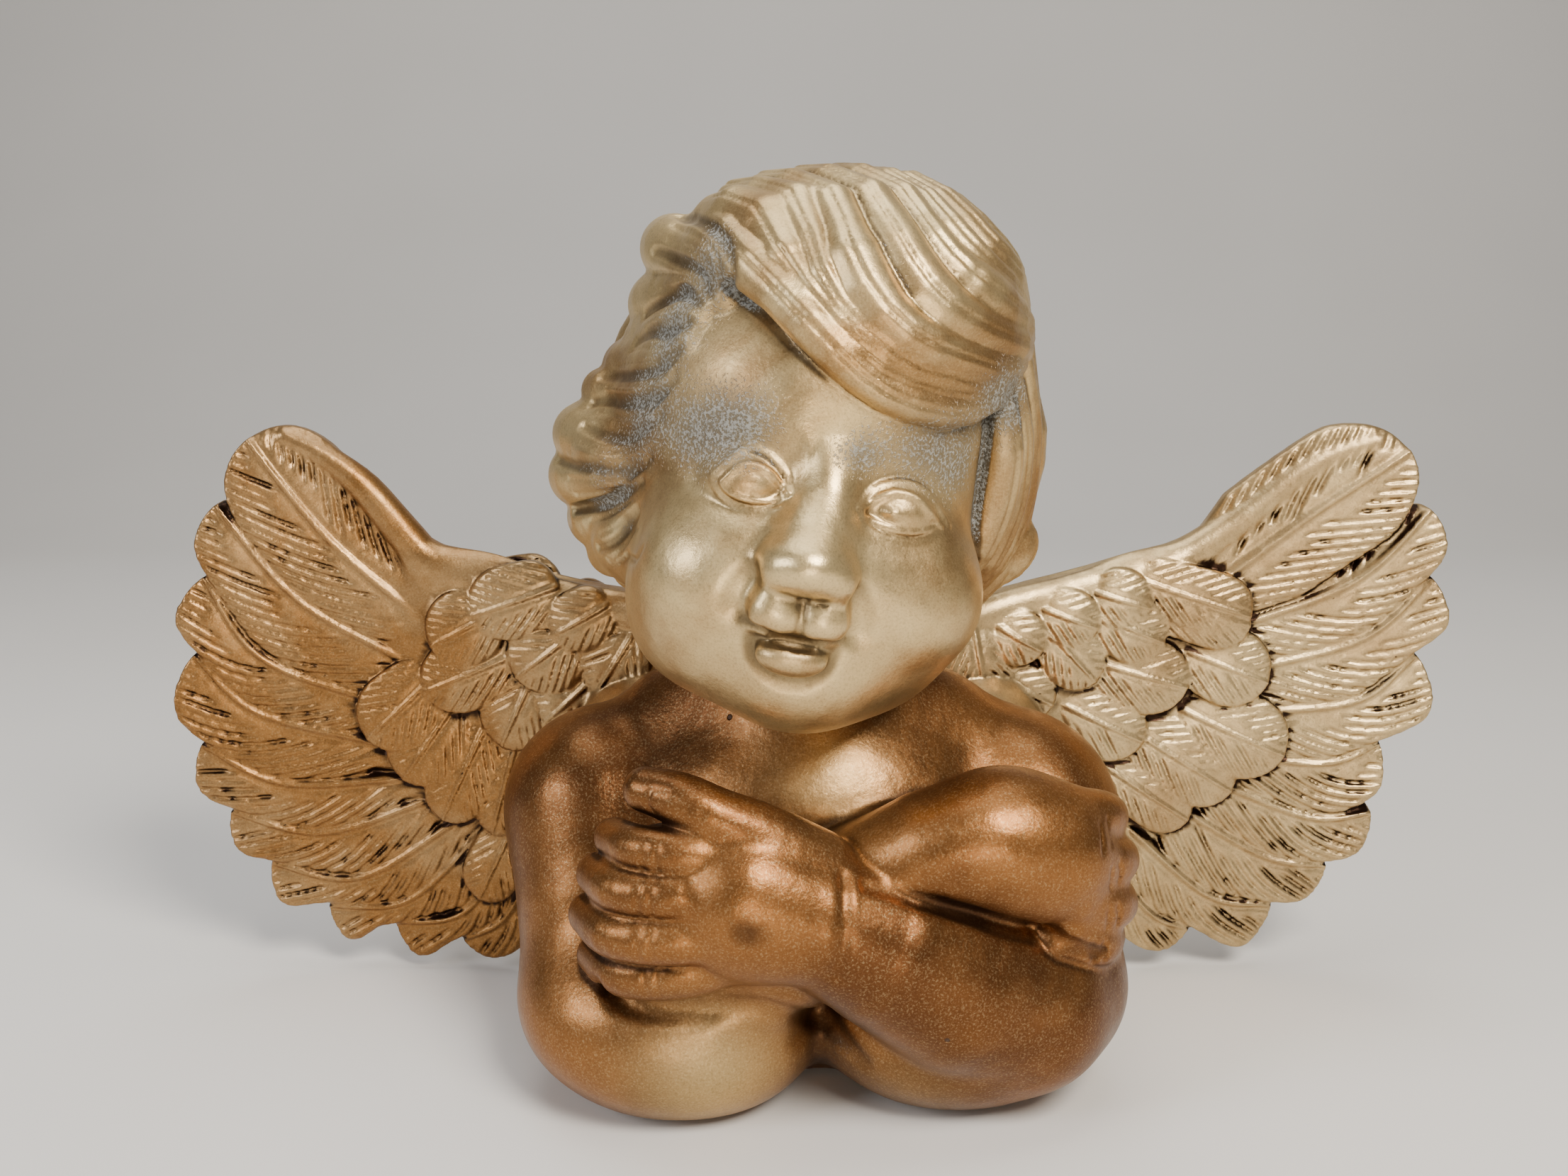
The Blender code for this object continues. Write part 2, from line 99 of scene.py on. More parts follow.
# %% The clay block
class Clay:
    """A box of samples from low to high, step apart, in millimetres."""

    def __init__(self, low, high, step):
        self.low, self.step = np.array(low, np.float32), np.float32(step)
        counts = np.ceil((np.array(high) - self.low) / step).astype(int) + 1
        self.field = np.full(counts, FAR, np.float32)

    def window(self, low, high):
        """The samples between two corners, and their coordinates."""
        first = np.clip(np.floor((np.array(low) - self.low) / self.step), 0, self.field.shape).astype(int)
        last = np.clip(
            np.ceil((np.array(high) - self.low) / self.step) + 1, 0, self.field.shape,
        ).astype(int)
        axes = [self.low[k] + self.step * np.arange(first[k], last[k], dtype=np.float32) for k in range(3)]
        return tuple(slice(a, b) for a, b in zip(first, last)), np.ix_(*axes)

    def join(self, place, distance, soft, carve):
        old = self.field[place]
        self.field[place] = -soft_min(-old, distance, soft) if carve else soft_min(old, distance, soft)

    def egg(self, centre, radii, soft=0.0, turn=0.0, carve=False):
        """Adds or carves an egg, turned about the front-to-back axis by turn degrees."""
        centre, radii = np.array(centre, np.float32), np.array(radii, np.float32)
        reach = np.max(radii) if turn else radii
        place, (x, y, z) = self.window(centre - reach - soft - 4, centre + reach + soft + 4)
        x, y, z = x - centre[0], y - centre[1], z - centre[2]
        if turn:
            c, s = math.cos(math.radians(turn)), math.sin(math.radians(turn))
            x, z = c * x - s * z, s * x + c * z
        unit = np.sqrt((x / radii[0]) ** 2 + (y / radii[1]) ** 2 + (z / radii[2]) ** 2)
        slope = np.sqrt((x / radii[0] ** 2) ** 2 + (y / radii[1] ** 2) ** 2 + (z / radii[2] ** 2) ** 2)
        self.join(place, unit * (unit - 1) / np.maximum(slope, 1e-4), soft, carve)

    def stroke(self, points, radii, soft=0.0, carve=False):
        """Adds or carves a round bar along a path, with a radius for each point."""
        points = np.array(points, np.float32)
        radii = np.interp(
            np.linspace(0, 1, len(points)), np.linspace(0, 1, np.size(radii)), np.ravel(radii),
        )
        margin = soft + 4
        place, _ = self.window(points.min(0) - radii.max() - margin, points.max(0) + radii.max() + margin)
        own = np.full(self.field[place].shape, FAR, np.float32)
        for a, b, first, last in zip(points, points[1:], radii, radii[1:]):
            big = max(first, last) + margin
            near, (x, y, z) = self.window(np.minimum(a, b) - big, np.maximum(a, b) + big)
            inner = tuple(slice(n.start - p.start, n.stop - p.start) for n, p in zip(near, place))
            x, y, z, bone = x - a[0], y - a[1], z - a[2], b - a
            t = np.clip((x * bone[0] + y * bone[1] + z * bone[2]) / max(bone @ bone, 1e-6), 0, 1)
            away = np.sqrt((x - t * bone[0]) ** 2 + (y - t * bone[1]) ** 2 + (z - t * bone[2]) ** 2)
            own[inner] = np.minimum(own[inner], away - first - (last - first) * t)
        self.join(place, own, soft, carve)

    def sample(self, points):
        """The distance at any points, read between the samples."""
        at = (np.asarray(points, np.float32) - self.low) / self.step
        at = np.clip(at, 0, np.array(self.field.shape) - 1.001)
        cell, part = at.astype(int), at - at.astype(int)
        total = 0
        for corner in np.ndindex(2, 2, 2):
            share = np.prod(np.where(corner, part, 1 - part), axis=1)
            total = total + share * self.field[tuple((cell + corner).T)]
        return total

    def front(self, x, z, lift=0.0):
        """The point of the skin that faces -Y at x and z, raised by lift, or None beside the clay."""
        ys = self.low[1] + self.step * np.arange(self.field.shape[1])
        column = self.sample(np.stack([np.full_like(ys, x), ys, np.full_like(ys, z)], axis=1))
        inside = np.argmax(column < 0)
        if not inside:
            return None
        share = column[inside - 1] / (column[inside - 1] - column[inside])
        return (x, ys[inside - 1] + share * self.step - lift, z)

    def line(self, places, radii, soft=0.6, carve=False, lift=0.0, count=14):
        """Presses a line into the front of the skin, or lays a ridge on it, through (x, z) places."""
        flat = smooth_path([(x, 0, z) for x, z in places], count)
        found = [self.front(x, z, lift) for x, _, z in flat]
        self.stroke([point for point in found if point], radii, soft, carve)


# %% [markdown]
# Taking the skin off the clay is a job for OpenVDB, which comes with Blender: it turns a grid of distances
# into a closed mesh of even quads. Flat areas don't need so many faces, so a Decimate modifier thins the
# mesh. Each vertex then remembers how deep in a hollow it sits. Paint and dust use that later.

# %% Skin off the clay
MOST_TRIANGLES = 190000


def evaluated(obj):
    """A plain mesh of the object with its modifiers applied."""
    bpy.context.view_layer.update()
    return bpy.data.meshes.new_from_object(obj.evaluated_get(bpy.context.evaluated_depsgraph_get()))


def applied(obj):
    """Applies the object's modifiers."""
    mesh = evaluated(obj)
    obj.modifiers.clear()
    obj.data = mesh
    return obj


def mesh_of(name, points, faces):
    """A mesh object from an array of points and an array of quads or triangles."""
    mesh = bpy.data.meshes.new(name)
    mesh.vertices.add(len(points))
    mesh.vertices.foreach_set("co", np.ascontiguousarray(points, np.float32).ravel())
    sides = faces.shape[1]
    mesh.loops.add(faces.size)
    mesh.loops.foreach_set("vertex_index", np.ascontiguousarray(faces, np.int32).ravel())
    mesh.polygons.add(len(faces))
    mesh.polygons.foreach_set("loop_start", np.arange(0, faces.size, sides, dtype=np.int32))
    mesh.update(calc_edges=True)
    mesh.validate()
    obj = bpy.data.objects.new(name, mesh)
    bpy.context.scene.collection.objects.link(obj)
    return obj


def thinned(obj, most=MOST_TRIANGLES):
    count = 2 * len(obj.data.polygons)
    if count > most:
        obj.modifiers.new("thin", "DECIMATE").ratio = most / count
        applied(obj)
    return obj


def positions(obj):
    co = np.empty(len(obj.data.vertices) * 3, np.float32)
    obj.data.vertices.foreach_get("co", co)
    return co.reshape(-1, 3)


def normals(obj):
    n = np.empty(len(obj.data.vertices) * 3, np.float32)
    obj.data.vertex_normals.foreach_get("vector", n)
    return n.reshape(-1, 3)


def store(obj, name, values):
    """Keeps a number for each vertex, which materials can read."""
    layer = obj.data.attributes.get(name) or obj.data.attributes.new(name, "FLOAT", "POINT")
    layer.data.foreach_set("value", np.asarray(values, np.float32))


def scatter_spots(obj, name, spots):
    """Stores a value that is highest at each spot and fades with distance."""
    points, total = positions(obj), 0
    for place, spread, amount in spots:
        total = total + amount * np.exp(-np.sum((points - np.array(place)) ** 2, axis=1) / spread**2)
    store(obj, name, total)


def hollows(clay, obj, depth):
    """How much of the space just outside each vertex is closed in, from 0 on open flesh to 1 in a slot."""
    points = positions(obj) + normals(obj) * depth
    return np.clip(1 - clay.sample(points) / depth, 0, 1)


def skin(clay, name):
    """The clay's surface as an object, in the clay's own millimetres."""
    band = 3 * float(clay.step)
    grid = openvdb.FloatGrid(band)
    grid.copyFromArray(np.clip(clay.field, -band, band))
    points, quads = grid.convertToQuads()
    points = points * clay.step + clay.low
    obj = mesh_of(name, points, quads[:, ::-1])
    corners = points[quads[:, [0, 2, 1]]].astype(np.float64)
    turned = np.einsum("ij,ij->i", corners[:, 0], np.cross(corners[:, 1], corners[:, 2])).sum()
    if turned < 0:
        obj.data.flip_normals()
    full = len(quads)
    thinned(obj)
    obj.data.shade_smooth()
    store(obj, "hollow", hollows(clay, obj, 2.5))
    print(f"{name}: {full} quads off the clay, {len(obj.data.polygons)} faces kept")
    return obj


def placed(obj, matrix):
    """Moves the skin from its drawing in millimetres to its place in the frame in metres."""
    obj.data.transform(matrix @ Matrix.Scale(MM, 4))
    return obj


# %% [markdown]
# ## The bust
# Chest, shoulders and the two folded arms are one casting. The masses are eggs, the limbs are tapering
# bars, and the joins are softer on the flesh than between fingers.

# %% Masses of the bust
BUST_MASSES = (  # centre, radii, softness, turn
    ((0, 2, 46), (48, 29, 42), 0, 0),  # rib cage
    ((0, 4, 12), (46, 28, 24), 8, 0),  # waist that meets the base
    ((-2, -11, 59), (33, 20, 18), 12, 0),  # upper chest
    ((0, 3, 71), (40, 18, 11.5), 8, 0),  # collar and nape
    ((-46, 0, 54), (20.5, 21, 22), 10, 0),  # shoulders
    ((45, 0, 53), (20, 21, 22), 10, 0),
)
UPPER_ARMS = (
    (((-47, -3, 54), (-45, -12, 38), (-43, -18, 24)), (19, 19, 19)),
    (((47, -3, 52), (46.5, -11, 38), (46, -18, 24)), (18.5, 18.5, 19)),
)
ELBOWS = (((-30, -27, 17.5), (31, 24, 20), 8, 6), ((32, -26, 20), (32, 23, 21), 8, -8))
NECK = (((0, 0, 68), (-2, -1, 80), (-3, -1, 90)), (23, 20, 19))

bust = Clay((-74, -64, -3), (78, 36, 95), 0.62)
for centre, radii, soft, turn in BUST_MASSES:
    bust.egg(centre, radii, soft, turn)
bust.stroke(*NECK, soft=9)
for bones, radii in UPPER_ARMS:
    bust.stroke(bones, radii, soft=6)
for centre, radii, soft, turn in ELBOWS:
    bust.egg(centre, radii, soft, turn)
print("bust masses:", len(BUST_MASSES) + len(UPPER_ARMS) + len(ELBOWS))

# %% [markdown]
# The lower forearm runs from the left elbow up to the right shoulder. The upper forearm crosses over it
# and its hand holds the left arm. The order of work matters: each arm is laid on what is under it.

# %% Forearms and hands
LOWER_FOREARM = (
    ((-28, -30, 22), (-10, -34, 36), (6, -37, 47), (22, -39, 59), (34, -40, 61)), (17, 15.5, 14, 12, 12),
)
UPPER_FOREARM = (
    ((42, -31, 23), (28, -38, 31), (14, -43, 41), (1, -47, 48.5), (-12, -48, 52.5)),
    (19, 18.5, 16.5, 13.8, 13),
)
bust.stroke(*LOWER_FOREARM, soft=4)
bust.egg((40, -38, 59.5), (19, 13.5, 15.5), 6, 20)  # back of the lower hand
bust.egg((27, -43, 62), (11, 8, 8), 6, -30)  # ball of its thumb
LOWER_FINGERS = (
    (((48, -38, 66), (56.5, -32, 63.5), (60, -22, 60)), (6.2, 5.4, 4.6)),
    (((50, -40, 58), (59, -32.5, 54.5), (62.5, -22, 51)), (6.4, 5.5, 4.6)),
    (((50, -40, 50), (59, -33.5, 45.5), (62.5, -23, 42)), (6.2, 5.4, 4.6)),
    (((49, -40, 43), (56.5, -35.5, 38), (60, -27, 35.5)), (5.6, 4.8, 4.2)),
)
for bones, radii in LOWER_FINGERS:
    bust.stroke(smooth_path(bones), radii, soft=2.0)
bust.stroke(*UPPER_FOREARM, soft=1.6)
bust.egg((-15, -48.5, 53), (15.5, 12.5, 15.5), 7)  # back of the upper hand
bust.egg((-29, -46.5, 50.5), (14.5, 9, 17), 4)  # the palm side, which fills in between the fingers
UPPER_FINGERS = (
    (((-16, -51, 62.5), (-26, -52.5, 63.8), (-34.5, -49.5, 64), (-39.5, -42, 63)), (5, 4.6, 4.4, 4)),
    (((-16, -53, 56), (-27, -54.5, 56.4), (-37.5, -51, 56), (-43, -42, 55.5)), (5, 4.9, 4.7, 4.2)),
    (((-16, -53, 49), (-27, -55, 48), (-38.5, -51.5, 47.4), (-44.5, -42, 47)), (5.2, 5.3, 5.1, 4.5)),
    (((-14, -50, 43), (-26, -51.5, 39.5), (-37.5, -48.5, 38), (-43.5, -40, 37.5)), (5.2, 5.4, 5.1, 4.3)),
)
for bones, radii in UPPER_FINGERS:
    bust.stroke(smooth_path(bones), radii, soft=1.1)
UPPER_THUMB = ((0, -46, 59), (-10, -48.5, 65.5), (-19, -49.5, 70), (-26, -48, 73), (-33, -45, 74))
bust.stroke(smooth_path(UPPER_THUMB), (7, 6.4, 5.6, 5.2, 4.4), soft=2.0)
print("fingers:", len(LOWER_FINGERS) + len(UPPER_FINGERS) + 1)

# %% Creases, knuckles and dimples
for bones, _ in UPPER_FINGERS:  # two short wrinkles on each knuckle
    x, _, z = bones[1]
    for back in (4.0, 6.5):
        wrinkle = ((x - back, z + 3.2), (x - back - 0.6, z), (x - back - 0.2, z - 3.2))
        bust.line(wrinkle, (0.2, 0.5, 0.2), 0.8, carve=True, lift=0.1, count=7)
for bones, _ in LOWER_FINGERS:
    (x, _, z) = bones[1]
    for back in (-1.6, 0.6):
        bust.line(((x + back, z + 2.4), (x + back + 0.4, z - 2.4)), 0.4, 0.6, carve=True, count=4)
WRIST_FOLD = ((5, 60), (4.8, 51), (3.4, 42))
bust.line(WRIST_FOLD, (0.3, 0.7, 0.4), 2.4, carve=True, lift=0.4, count=10)
THUMB_NAIL = ((-28.5, 76.2), (-31.5, 75.8), (-32.5, 73), (-30.5, 71))
bust.line(THUMB_NAIL, 0.4, 0.5, carve=True, lift=0.2)
bust.egg((-3, -36, 75.5), (7, 4, 3.5), 5, carve=True)  # the hollow between the collar bones
# neck muscles down to the shoulders
bust.stroke(((-30, 2, 76), (-18, 0, 82), (-8, 0, 90)), (8, 9, 10), soft=10)
bust.stroke(((26, 2, 74), (14, 0, 81), (4, 0, 90)), (8, 9, 10), soft=10)
FOREARMS_MEET = ((9, 58), (17, 55), (27, 51), (38, 46.5), (49, 41.5), (56, 38))
bust.line(FOREARMS_MEET, (0.3, 0.7, 1.2, 1.9, 2.1, 1.4), 2.2, carve=True, lift=0.5, count=20)
UNDER_HAND = ((-43, 35), (-37, 30), (-26, 29.2), (-12, 30), (-5, 27), (1, 22), (9, 15))
bust.line(UNDER_HAND, (0.6, 1.4, 1.6, 1.4, 1.2, 1.0, 0.5), 3.5, carve=True, lift=0.8, count=24)
print("creases pressed in")

# %% The underside of the bust
place, (x, y, z) = bust.window((-80, -70, -5), (80, 40, 14))
bust.join(place, np.broadcast_to(z - BASE_Z, bust.field[place].shape), 1.2, True)
board_low, board_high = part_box("base_board")
GLUE_GAP = 0.4
half_long = (board_high.x - board_low.x) / 2 / MM + GLUE_GAP
half_deep = (board_high.y - board_low.y) / 2 / MM + GLUE_GAP
middle_y = (board_low.y + board_high.y - 2 * SHIFT_Y) / 2 / MM
recess = (np.hypot(x / half_long, (y - middle_y) / half_deep) - 1) * half_deep
recess = np.maximum(recess, z - board_high.z / MM - GLUE_GAP)
bust.join(place, recess.astype(np.float32), 0.3, True)
bust_skin = skin(bust, "bust_casting")
BUST_DUST = (
    ((4, -40, 15), 6, 0.3), ((-34, -42, 3), 14, 0.25), ((2, -30, 80), 12, 0.2), ((30, -45, 3), 16, 0.2),
)
# painted highlights: pale gold spots where the light shines on the lower arm lobes and the chest
BUST_PAINTED_HIGHLIGHTS = (((-20, -50, 13), 15, 0.5), ((2, -33, 72), 12, 0.35), ((18, -45, 8), 12, 0.12))
scatter_spots(bust_skin, "dust", BUST_DUST)
scatter_spots(bust_skin, "painted_highlight", BUST_PAINTED_HIGHLIGHTS)
placed(bust_skin, Matrix.Translation((0, SHIFT_Y, 0)))

# %% [markdown]
# ## The head
# The head is drawn upright, facing -Y, round the middle of the skull. Later it is tilted to the side,
# turned a little and set on the neck. The face is a plain plump child's: a broad forehead, full cheeks,
# almond eyes with a double lid line, a round nose and a small smile.

# %% Skull, cheeks and chin
HEAD_TILT = Euler((math.radians(-6), math.radians(11), math.radians(8)), "XYZ")
HEAD_ORIGIN = Vector((-5.8, -2.4, 130.3))
head_place = Matrix.Translation(HEAD_ORIGIN * MM + Vector((0, SHIFT_Y, 0))) @ HEAD_TILT.to_matrix().to_4x4()
head = Clay((-62, -66, -56), (66, 58, 68), 0.5)
FACE_MASSES = (
    ((1, 2, 13), (37, 44, 41), 0),  # skull
    ((2, -12, 12), (33, 34, 28), 10),  # forehead
    ((3.5, -10, -17), (34, 41, 33.5), 10),  # face
    ((-14.5, -31, -22), (15, 15.5, 14.5), 8),  # cheeks
    ((21.5, -31, -21), (15, 15.5, 14.5), 8),
    ((3, -32, -36.5), (17, 14, 13), 8),  # chin
    ((-13.5, -18, -31), (14.5, 19, 14), 9),  # jowls
    ((17.5, -17, -32), (14.5, 18, 13), 9),
)
for centre, radii, soft in FACE_MASSES:
    head.egg(centre, radii, soft)
for centre in ((-14.5, -51.5, -1.5), (16.5, -53.5, -1.5)):
    head.egg(centre, (12, 9, 7.5), 6, carve=True)  # eye sockets
print("face masses:", len(FACE_MASSES))

# %% Nose
head.stroke(((1.0, -43.4, 2), (0.5, -45.4, -5), (-1.0, -49.4, -12)), (3.4, 4.6, 6.0), soft=5)
head.egg((-1.8, -52.6, -16.4), (7.2, 7.0, 5.6), 3)
for x, y, z in ((-7.0, -50.0, -17.8), (3.9, -51.0, -18.6)):
    head.egg((x, y, z), (3.6, 5.4, 3.9), 3.5)
for x in (-5.4, 1.6):
    head.egg((x, -55.0, -22.6), (1.6, 2.2, 0.9), 0.8, carve=True)

# %% Eyes
# Each eye is a ball in its socket, with lid lines laid over it as thin ridges. Lines are (x, z) places.
EYES = {
    "left": {
        "ball": (-13.2, -37.0, -3.6),
        "fold": ((-20.4, -3.6), (-17.4, 0.2), (-14.0, 2.4), (-10.5, 1.6), (-7.1, -1.3), (-6.2, -3.8)),
        "lid": ((-18.6, -4.2), (-16.7, -1.7), (-14.0, -0.4), (-11.0, -1.1), (-8.4, -2.8), (-6.4, -4.2)),
        "lower": ((-18.9, -4.5), (-17.1, -5.9), (-14.1, -6.7), (-10.8, -6.7), (-8.5, -5.9), (-6.6, -4.4)),
        "bag": ((-20.1, -4.9), (-18.0, -7.0), (-14.4, -8.4), (-10.6, -8.4), (-7.6, -7.2)),
    },
    "right": {
        "ball": (14.0, -39.5, -4.5),
        "fold": ((6.0, -4.8), (8.5, -1.4), (12.8, 0.6), (17.0, 0.7), (21.3, -1.3), (25.4, -5.3)),
        "lid": ((6.9, -5.2), (9.3, -2.8), (13.0, -0.9), (16.8, -1.4), (20.3, -3.6), (23.7, -5.9)),
        "lower": ((7.0, -5.8), (10.4, -7.1), (14.6, -7.7), (18.8, -7.2), (22.3, -6.2)),
        "bag": ((6.8, -6.5), (10.1, -8.7), (14.8, -9.6), (18.9, -9.0), (22.9, -7.1)),
    },
}
for eye in EYES.values():
    head.egg(eye["ball"], (8.6, 8.6, 6.2), 1.5)
for eye in EYES.values():
    head.line(eye["fold"], (0.5, 0.9, 0.9, 0.5), 0.7, lift=-0.1)
    head.line(eye["lid"], (0.5, 0.9, 0.9, 0.5), 0.5, lift=0.1)
    head.line(eye["lower"], (0.4, 0.75, 0.75, 0.4), 0.5, lift=0.0)
    head.line(eye["bag"], (0.3, 0.6, 0.6, 0.3), 0.6, lift=-0.2)
iris = [(13.0 + 3.0 * math.cos(a), -4.6 + 1.75 * math.sin(a)) for a in np.linspace(0, 2 * math.pi, 17)]
head.line(iris, 0.3, 0.4, carve=True, lift=0.1, count=24)
head.egg(head.front(13.0, -4.6, -0.3), (1.5, 0.9, 0.9), 0.5)
print("eyes laid")

# %% Mouth
head.egg((-5.8, -48.8, -25.4), (6.0, 5.2, 5.0), 2.4, 10)  # the two halves of the upper lip
head.egg((2.8, -49.6, -25.6), (5.6, 5.2, 5.0), 2.4, -8)
head.egg((-1.0, -47.4, -33.6), (7.2, 5.4, 3.8), 1.4)  # lower lip
head.line(((-1.7, -22.6), (-1.6, -25.5), (-1.5, -28.6)), (0.5, 0.8, 0.6), 1.0, carve=True, lift=0.3)
MOUTH = (
    (-12.4, -26.6), (-10.6, -28.6), (-7.0, -29.8), (-3.6, -30.4), (-1.0, -30.6), (2.0, -30.2), (6.2, -29.6),
    (9.2, -27.8),
)
head.line(MOUTH, (0.6, 1.2, 1.4, 1.4, 1.2, 0.6), 0.8, carve=True, lift=0.4, count=20)
UNDER_LIP = (
    (-9.4, -32.2), (-7.6, -35.6), (-4.8, -37.8), (-1.2, -38.8), (2.4, -38.2), (5.6, -35.8), (7.4, -31.8),
)
head.line(UNDER_LIP, (0.4, 1.2, 1.5, 1.2, 0.4), 2.2, carve=True, lift=0.7)
FOLDS = (((-11.4, -19.5), (-12.8, -23.0), (-13.2, -26.6)), ((8.6, -20.5), (10.0, -24.0), (10.2, -27.6)))
for fold in FOLDS:  # soft, from the nose down past the corners of the mouth
    head.line(fold, (0.4, 1.2, 1.2), 4.0, carve=True, lift=0.9)
print("mouth carved")

# %% [markdown]
# ## Hair
# A modeller lays hair as locks: long tapering rolls, side by side, with a sharp valley between neighbours.
# A wide fringe is combed from a parting high on one side, over the forehead, to the opposite temple. The
# lines below are the valleys of that fringe. Each lock is laid midway between two of them, as wide as
# the gap, so that the rolls fan out and close up as combed hair does.

# %% The combed fringe
FRINGE_VALLEYS = (
    (
        (-25, -30, 40), (-20.5, -40, 33.5), (-13, -46, 29), (-5.5, -48.5, 22.5), (1, -48.5, 17.5),
        (7.5, -47.5, 14.5), (14.5, -45.5, 13), (23, -41, 13.5), (29.5, -37, 16), (35, -31, 19.5),
    ),
    (
        (-26.5, -24, 45), (-20.5, -35, 41.5), (-16, -42.5, 35), (-8.5, -47.5, 29.5), (-1, -49, 24),
        (5, -49, 20.5), (11.5, -48, 19), (20, -45, 18.5), (28.5, -40, 19.5), (35, -31.5, 22),
    ),
    (
        (-24, -19, 50), (-16.5, -28, 51), (-12.5, -41, 42), (-8, -47, 33), (-2, -49, 28), (4.5, -50, 24),
        (12, -48.5, 21), (20.5, -45, 20.5), (29, -39.5, 21.5), (36, -31, 24.5),
    ),
    (
        (-19, -16, 53.5), (-10.5, -34.5, 50), (-7.5, -42, 44), (-5.5, -47, 36.5), (-1, -49, 30.5),
        (5, -50, 26.5), (11.5, -49, 24), (22, -45, 23), (29.5, -39, 23), (37, -30.5, 26.5),
    ),
    (
        (-12, -16, 56), (-3.5, -33.5, 53), (-0.5, -41.5, 47), (2.5, -45, 42.5), (6.5, -48, 36.5),
        (11.5, -48.5, 32), (17.5, -47, 30), (24, -43, 29), (31.5, -37, 28.5), (37.5, -29, 29.5),
    ),
    (
        (-5, -15, 58.5), (4, -32.5, 54.5), (8, -39, 49.5), (11, -42, 45.5), (14.5, -43.5, 41.5),
        (18.5, -44, 38.5), (22.5, -42.5, 36.5), (28, -38.5, 35), (34, -32, 34.5), (38.5, -25, 33.5),
    ),
    (
        (2, -14, 60), (9.5, -29, 56), (14, -36.5, 50), (17, -38, 47), (20.5, -39, 44.5), (25, -37.5, 42.5),
        (28.5, -35, 41.5), (32.5, -30.5, 40), (36.5, -25, 38), (39.5, -18, 36),
    ),
    (
        (8, -14, 60.5), (14.5, -26.5, 56), (20, -32.5, 50.5), (22.5, -33, 48.5), (25, -33.5, 46.5),
        (28.5, -32, 44.5), (31.5, -28.5, 43), (34.5, -24, 41.5), (37.5, -18, 39.5), (40, -10, 37.5),
    ),
    (
        (13, -10, 60.5), (19, -18, 57), (24, -23, 53), (27, -24, 50.5), (30, -24, 48.5), (33, -22, 46.5),
        (35, -19, 45), (37, -14, 43), (39.5, -8, 40.5), (41, 0, 37.5),
    ),
    (
        (17, -3, 60), (23, -8, 57), (28, -11, 53), (31, -12, 50.5), (33.5, -12, 48.5), (36, -10, 46),
        (37.5, -7, 44), (39, -2, 42), (41, 4, 38.5), (42, 10, 34.5),
    ),
)
def lock(path, radii, strands, soft=0.5):
    """A roll of hair along the path, with fine lines pressed along it at these angles from its crest."""
    path = np.array(path, np.float32)
    radii = np.interp(np.linspace(0, 1, len(path)), np.linspace(0, 1, np.size(radii)), np.ravel(radii))
    head.stroke(path, radii, soft)
    ahead = np.gradient(path, axis=0)
    ahead /= np.linalg.norm(ahead, axis=1)[:, None]
    out = path - np.array((2, 0, 8))
    out -= ahead * np.sum(out * ahead, axis=1)[:, None]
    out /= np.linalg.norm(out, axis=1)[:, None]
    beside = np.cross(out, ahead)
    for angle in np.radians(strands):
        groove = path + (out * math.cos(angle) + beside * math.sin(angle)) * (radii + 0.1)[:, None]
        head.stroke(groove[1:-1], (0.25, 0.55, 0.55, 0.25), soft=0.5, carve=True)


def combed(valleys, strands, wide=0.58, sink=0.55, soft=0.5, lead=(), tail=()):
    """A lock midway between each two neighbouring valleys, as wide as the gap and sunk into the head."""
    paths = []
    for valley in valleys:
        before = [np.array(valley[0]) + step for step in lead]
        after = [np.array(valley[-1]) + step for step in tail]
        paths.append(smooth_path([*before, *valley, *after], 16))
    for lower, upper in zip(paths, paths[1:]):
        radii = np.clip(wide * np.linalg.norm(upper - lower, axis=1), 1.6, 7)
        middle = (lower + upper) / 2
        inward = np.array((2, 0, 14)) - middle
        inward /= np.linalg.norm(inward, axis=1)[:, None]
        lock(middle + inward * (radii * sink)[:, None], radii, strands, soft)
    return len(valleys) - 1


print("fringe locks:", combed(FRINGE_VALLEYS, (-18,), lead=((0, 16, -9), (0, 8, -2.5)), tail=((1, 7, -3),)))

# %% Locks at the temples
LEFT_MASSES = (  # what the locks beside the face lie on
    ((-22, -10, 36), (11, 24, 13)), (
        (-24, -6, 23), (10.5, 23, 12),
    ), ((-27, -1, 8), (11.5, 22, 12)), ((-32, 5, -6), (13, 20, 10.5)),
    ((-26, 4, -19), (12, 18, 12)),
)
LEFT_VALLEYS = (
    ((-22, -34, 31), (-24.5, -28.5, 38), (-28, -23, 42), (-31.5, -15.5, 45), (-34, -6, 48)),
    ((-25.5, -32, 29), (-27.5, -25, 32.5), (-30.5, -18, 34.5), (-34.5, -9, 36.5), (-36.5, 0, 36.5)),
    ((-27, -31, 27), (-29.5, -23.5, 29), (-31.5, -15, 28), (-34, -5.5, 26), (-36, 4, 23)),
    ((-28, -31, 23.5), (-31.5, -18.5, 21), (-34, -6.5, 21), (-37, 6, 17.5)),
    ((-29, -28, 18.5), (-31.5, -19, 14.5), (-35, -10, 12.5), (-39, -1, 11.5), (-42.5, 8, 11)),
    ((-29, -26, 12.5), (-31.5, -17, 8.5), (-35.5, -8.5, 6.5), (-39.5, 0, 6.5), (-44, 9, 4.5)),
    ((-30, -24, 5.5), (-33.5, -15.5, 1), (-36, -7, -0.5), (-41, 1.5, 0), (-45, 10, 1)),
    ((-30.5, -21, -3), (-34.5, -13, -7), (-41.5, -4.5, -7.5), (-46, 4, -7.5), (-49, 12, -7)),
    ((-31, -18, -8), (-33.5, -10.5, -11), (-36, -3, -13.5), (-40, 4.5, -16), (-43, 12, -18)),
    ((-30.5, -15, -14), (-32, -6, -17.5), (-34, 3, -21.5), (-37.5, 12, -24.5)),
    ((-29.5, -10, -21.5), (-30.5, -2.5, -26), (-32, 4.5, -29.5), (-32, 12, -31)),
)
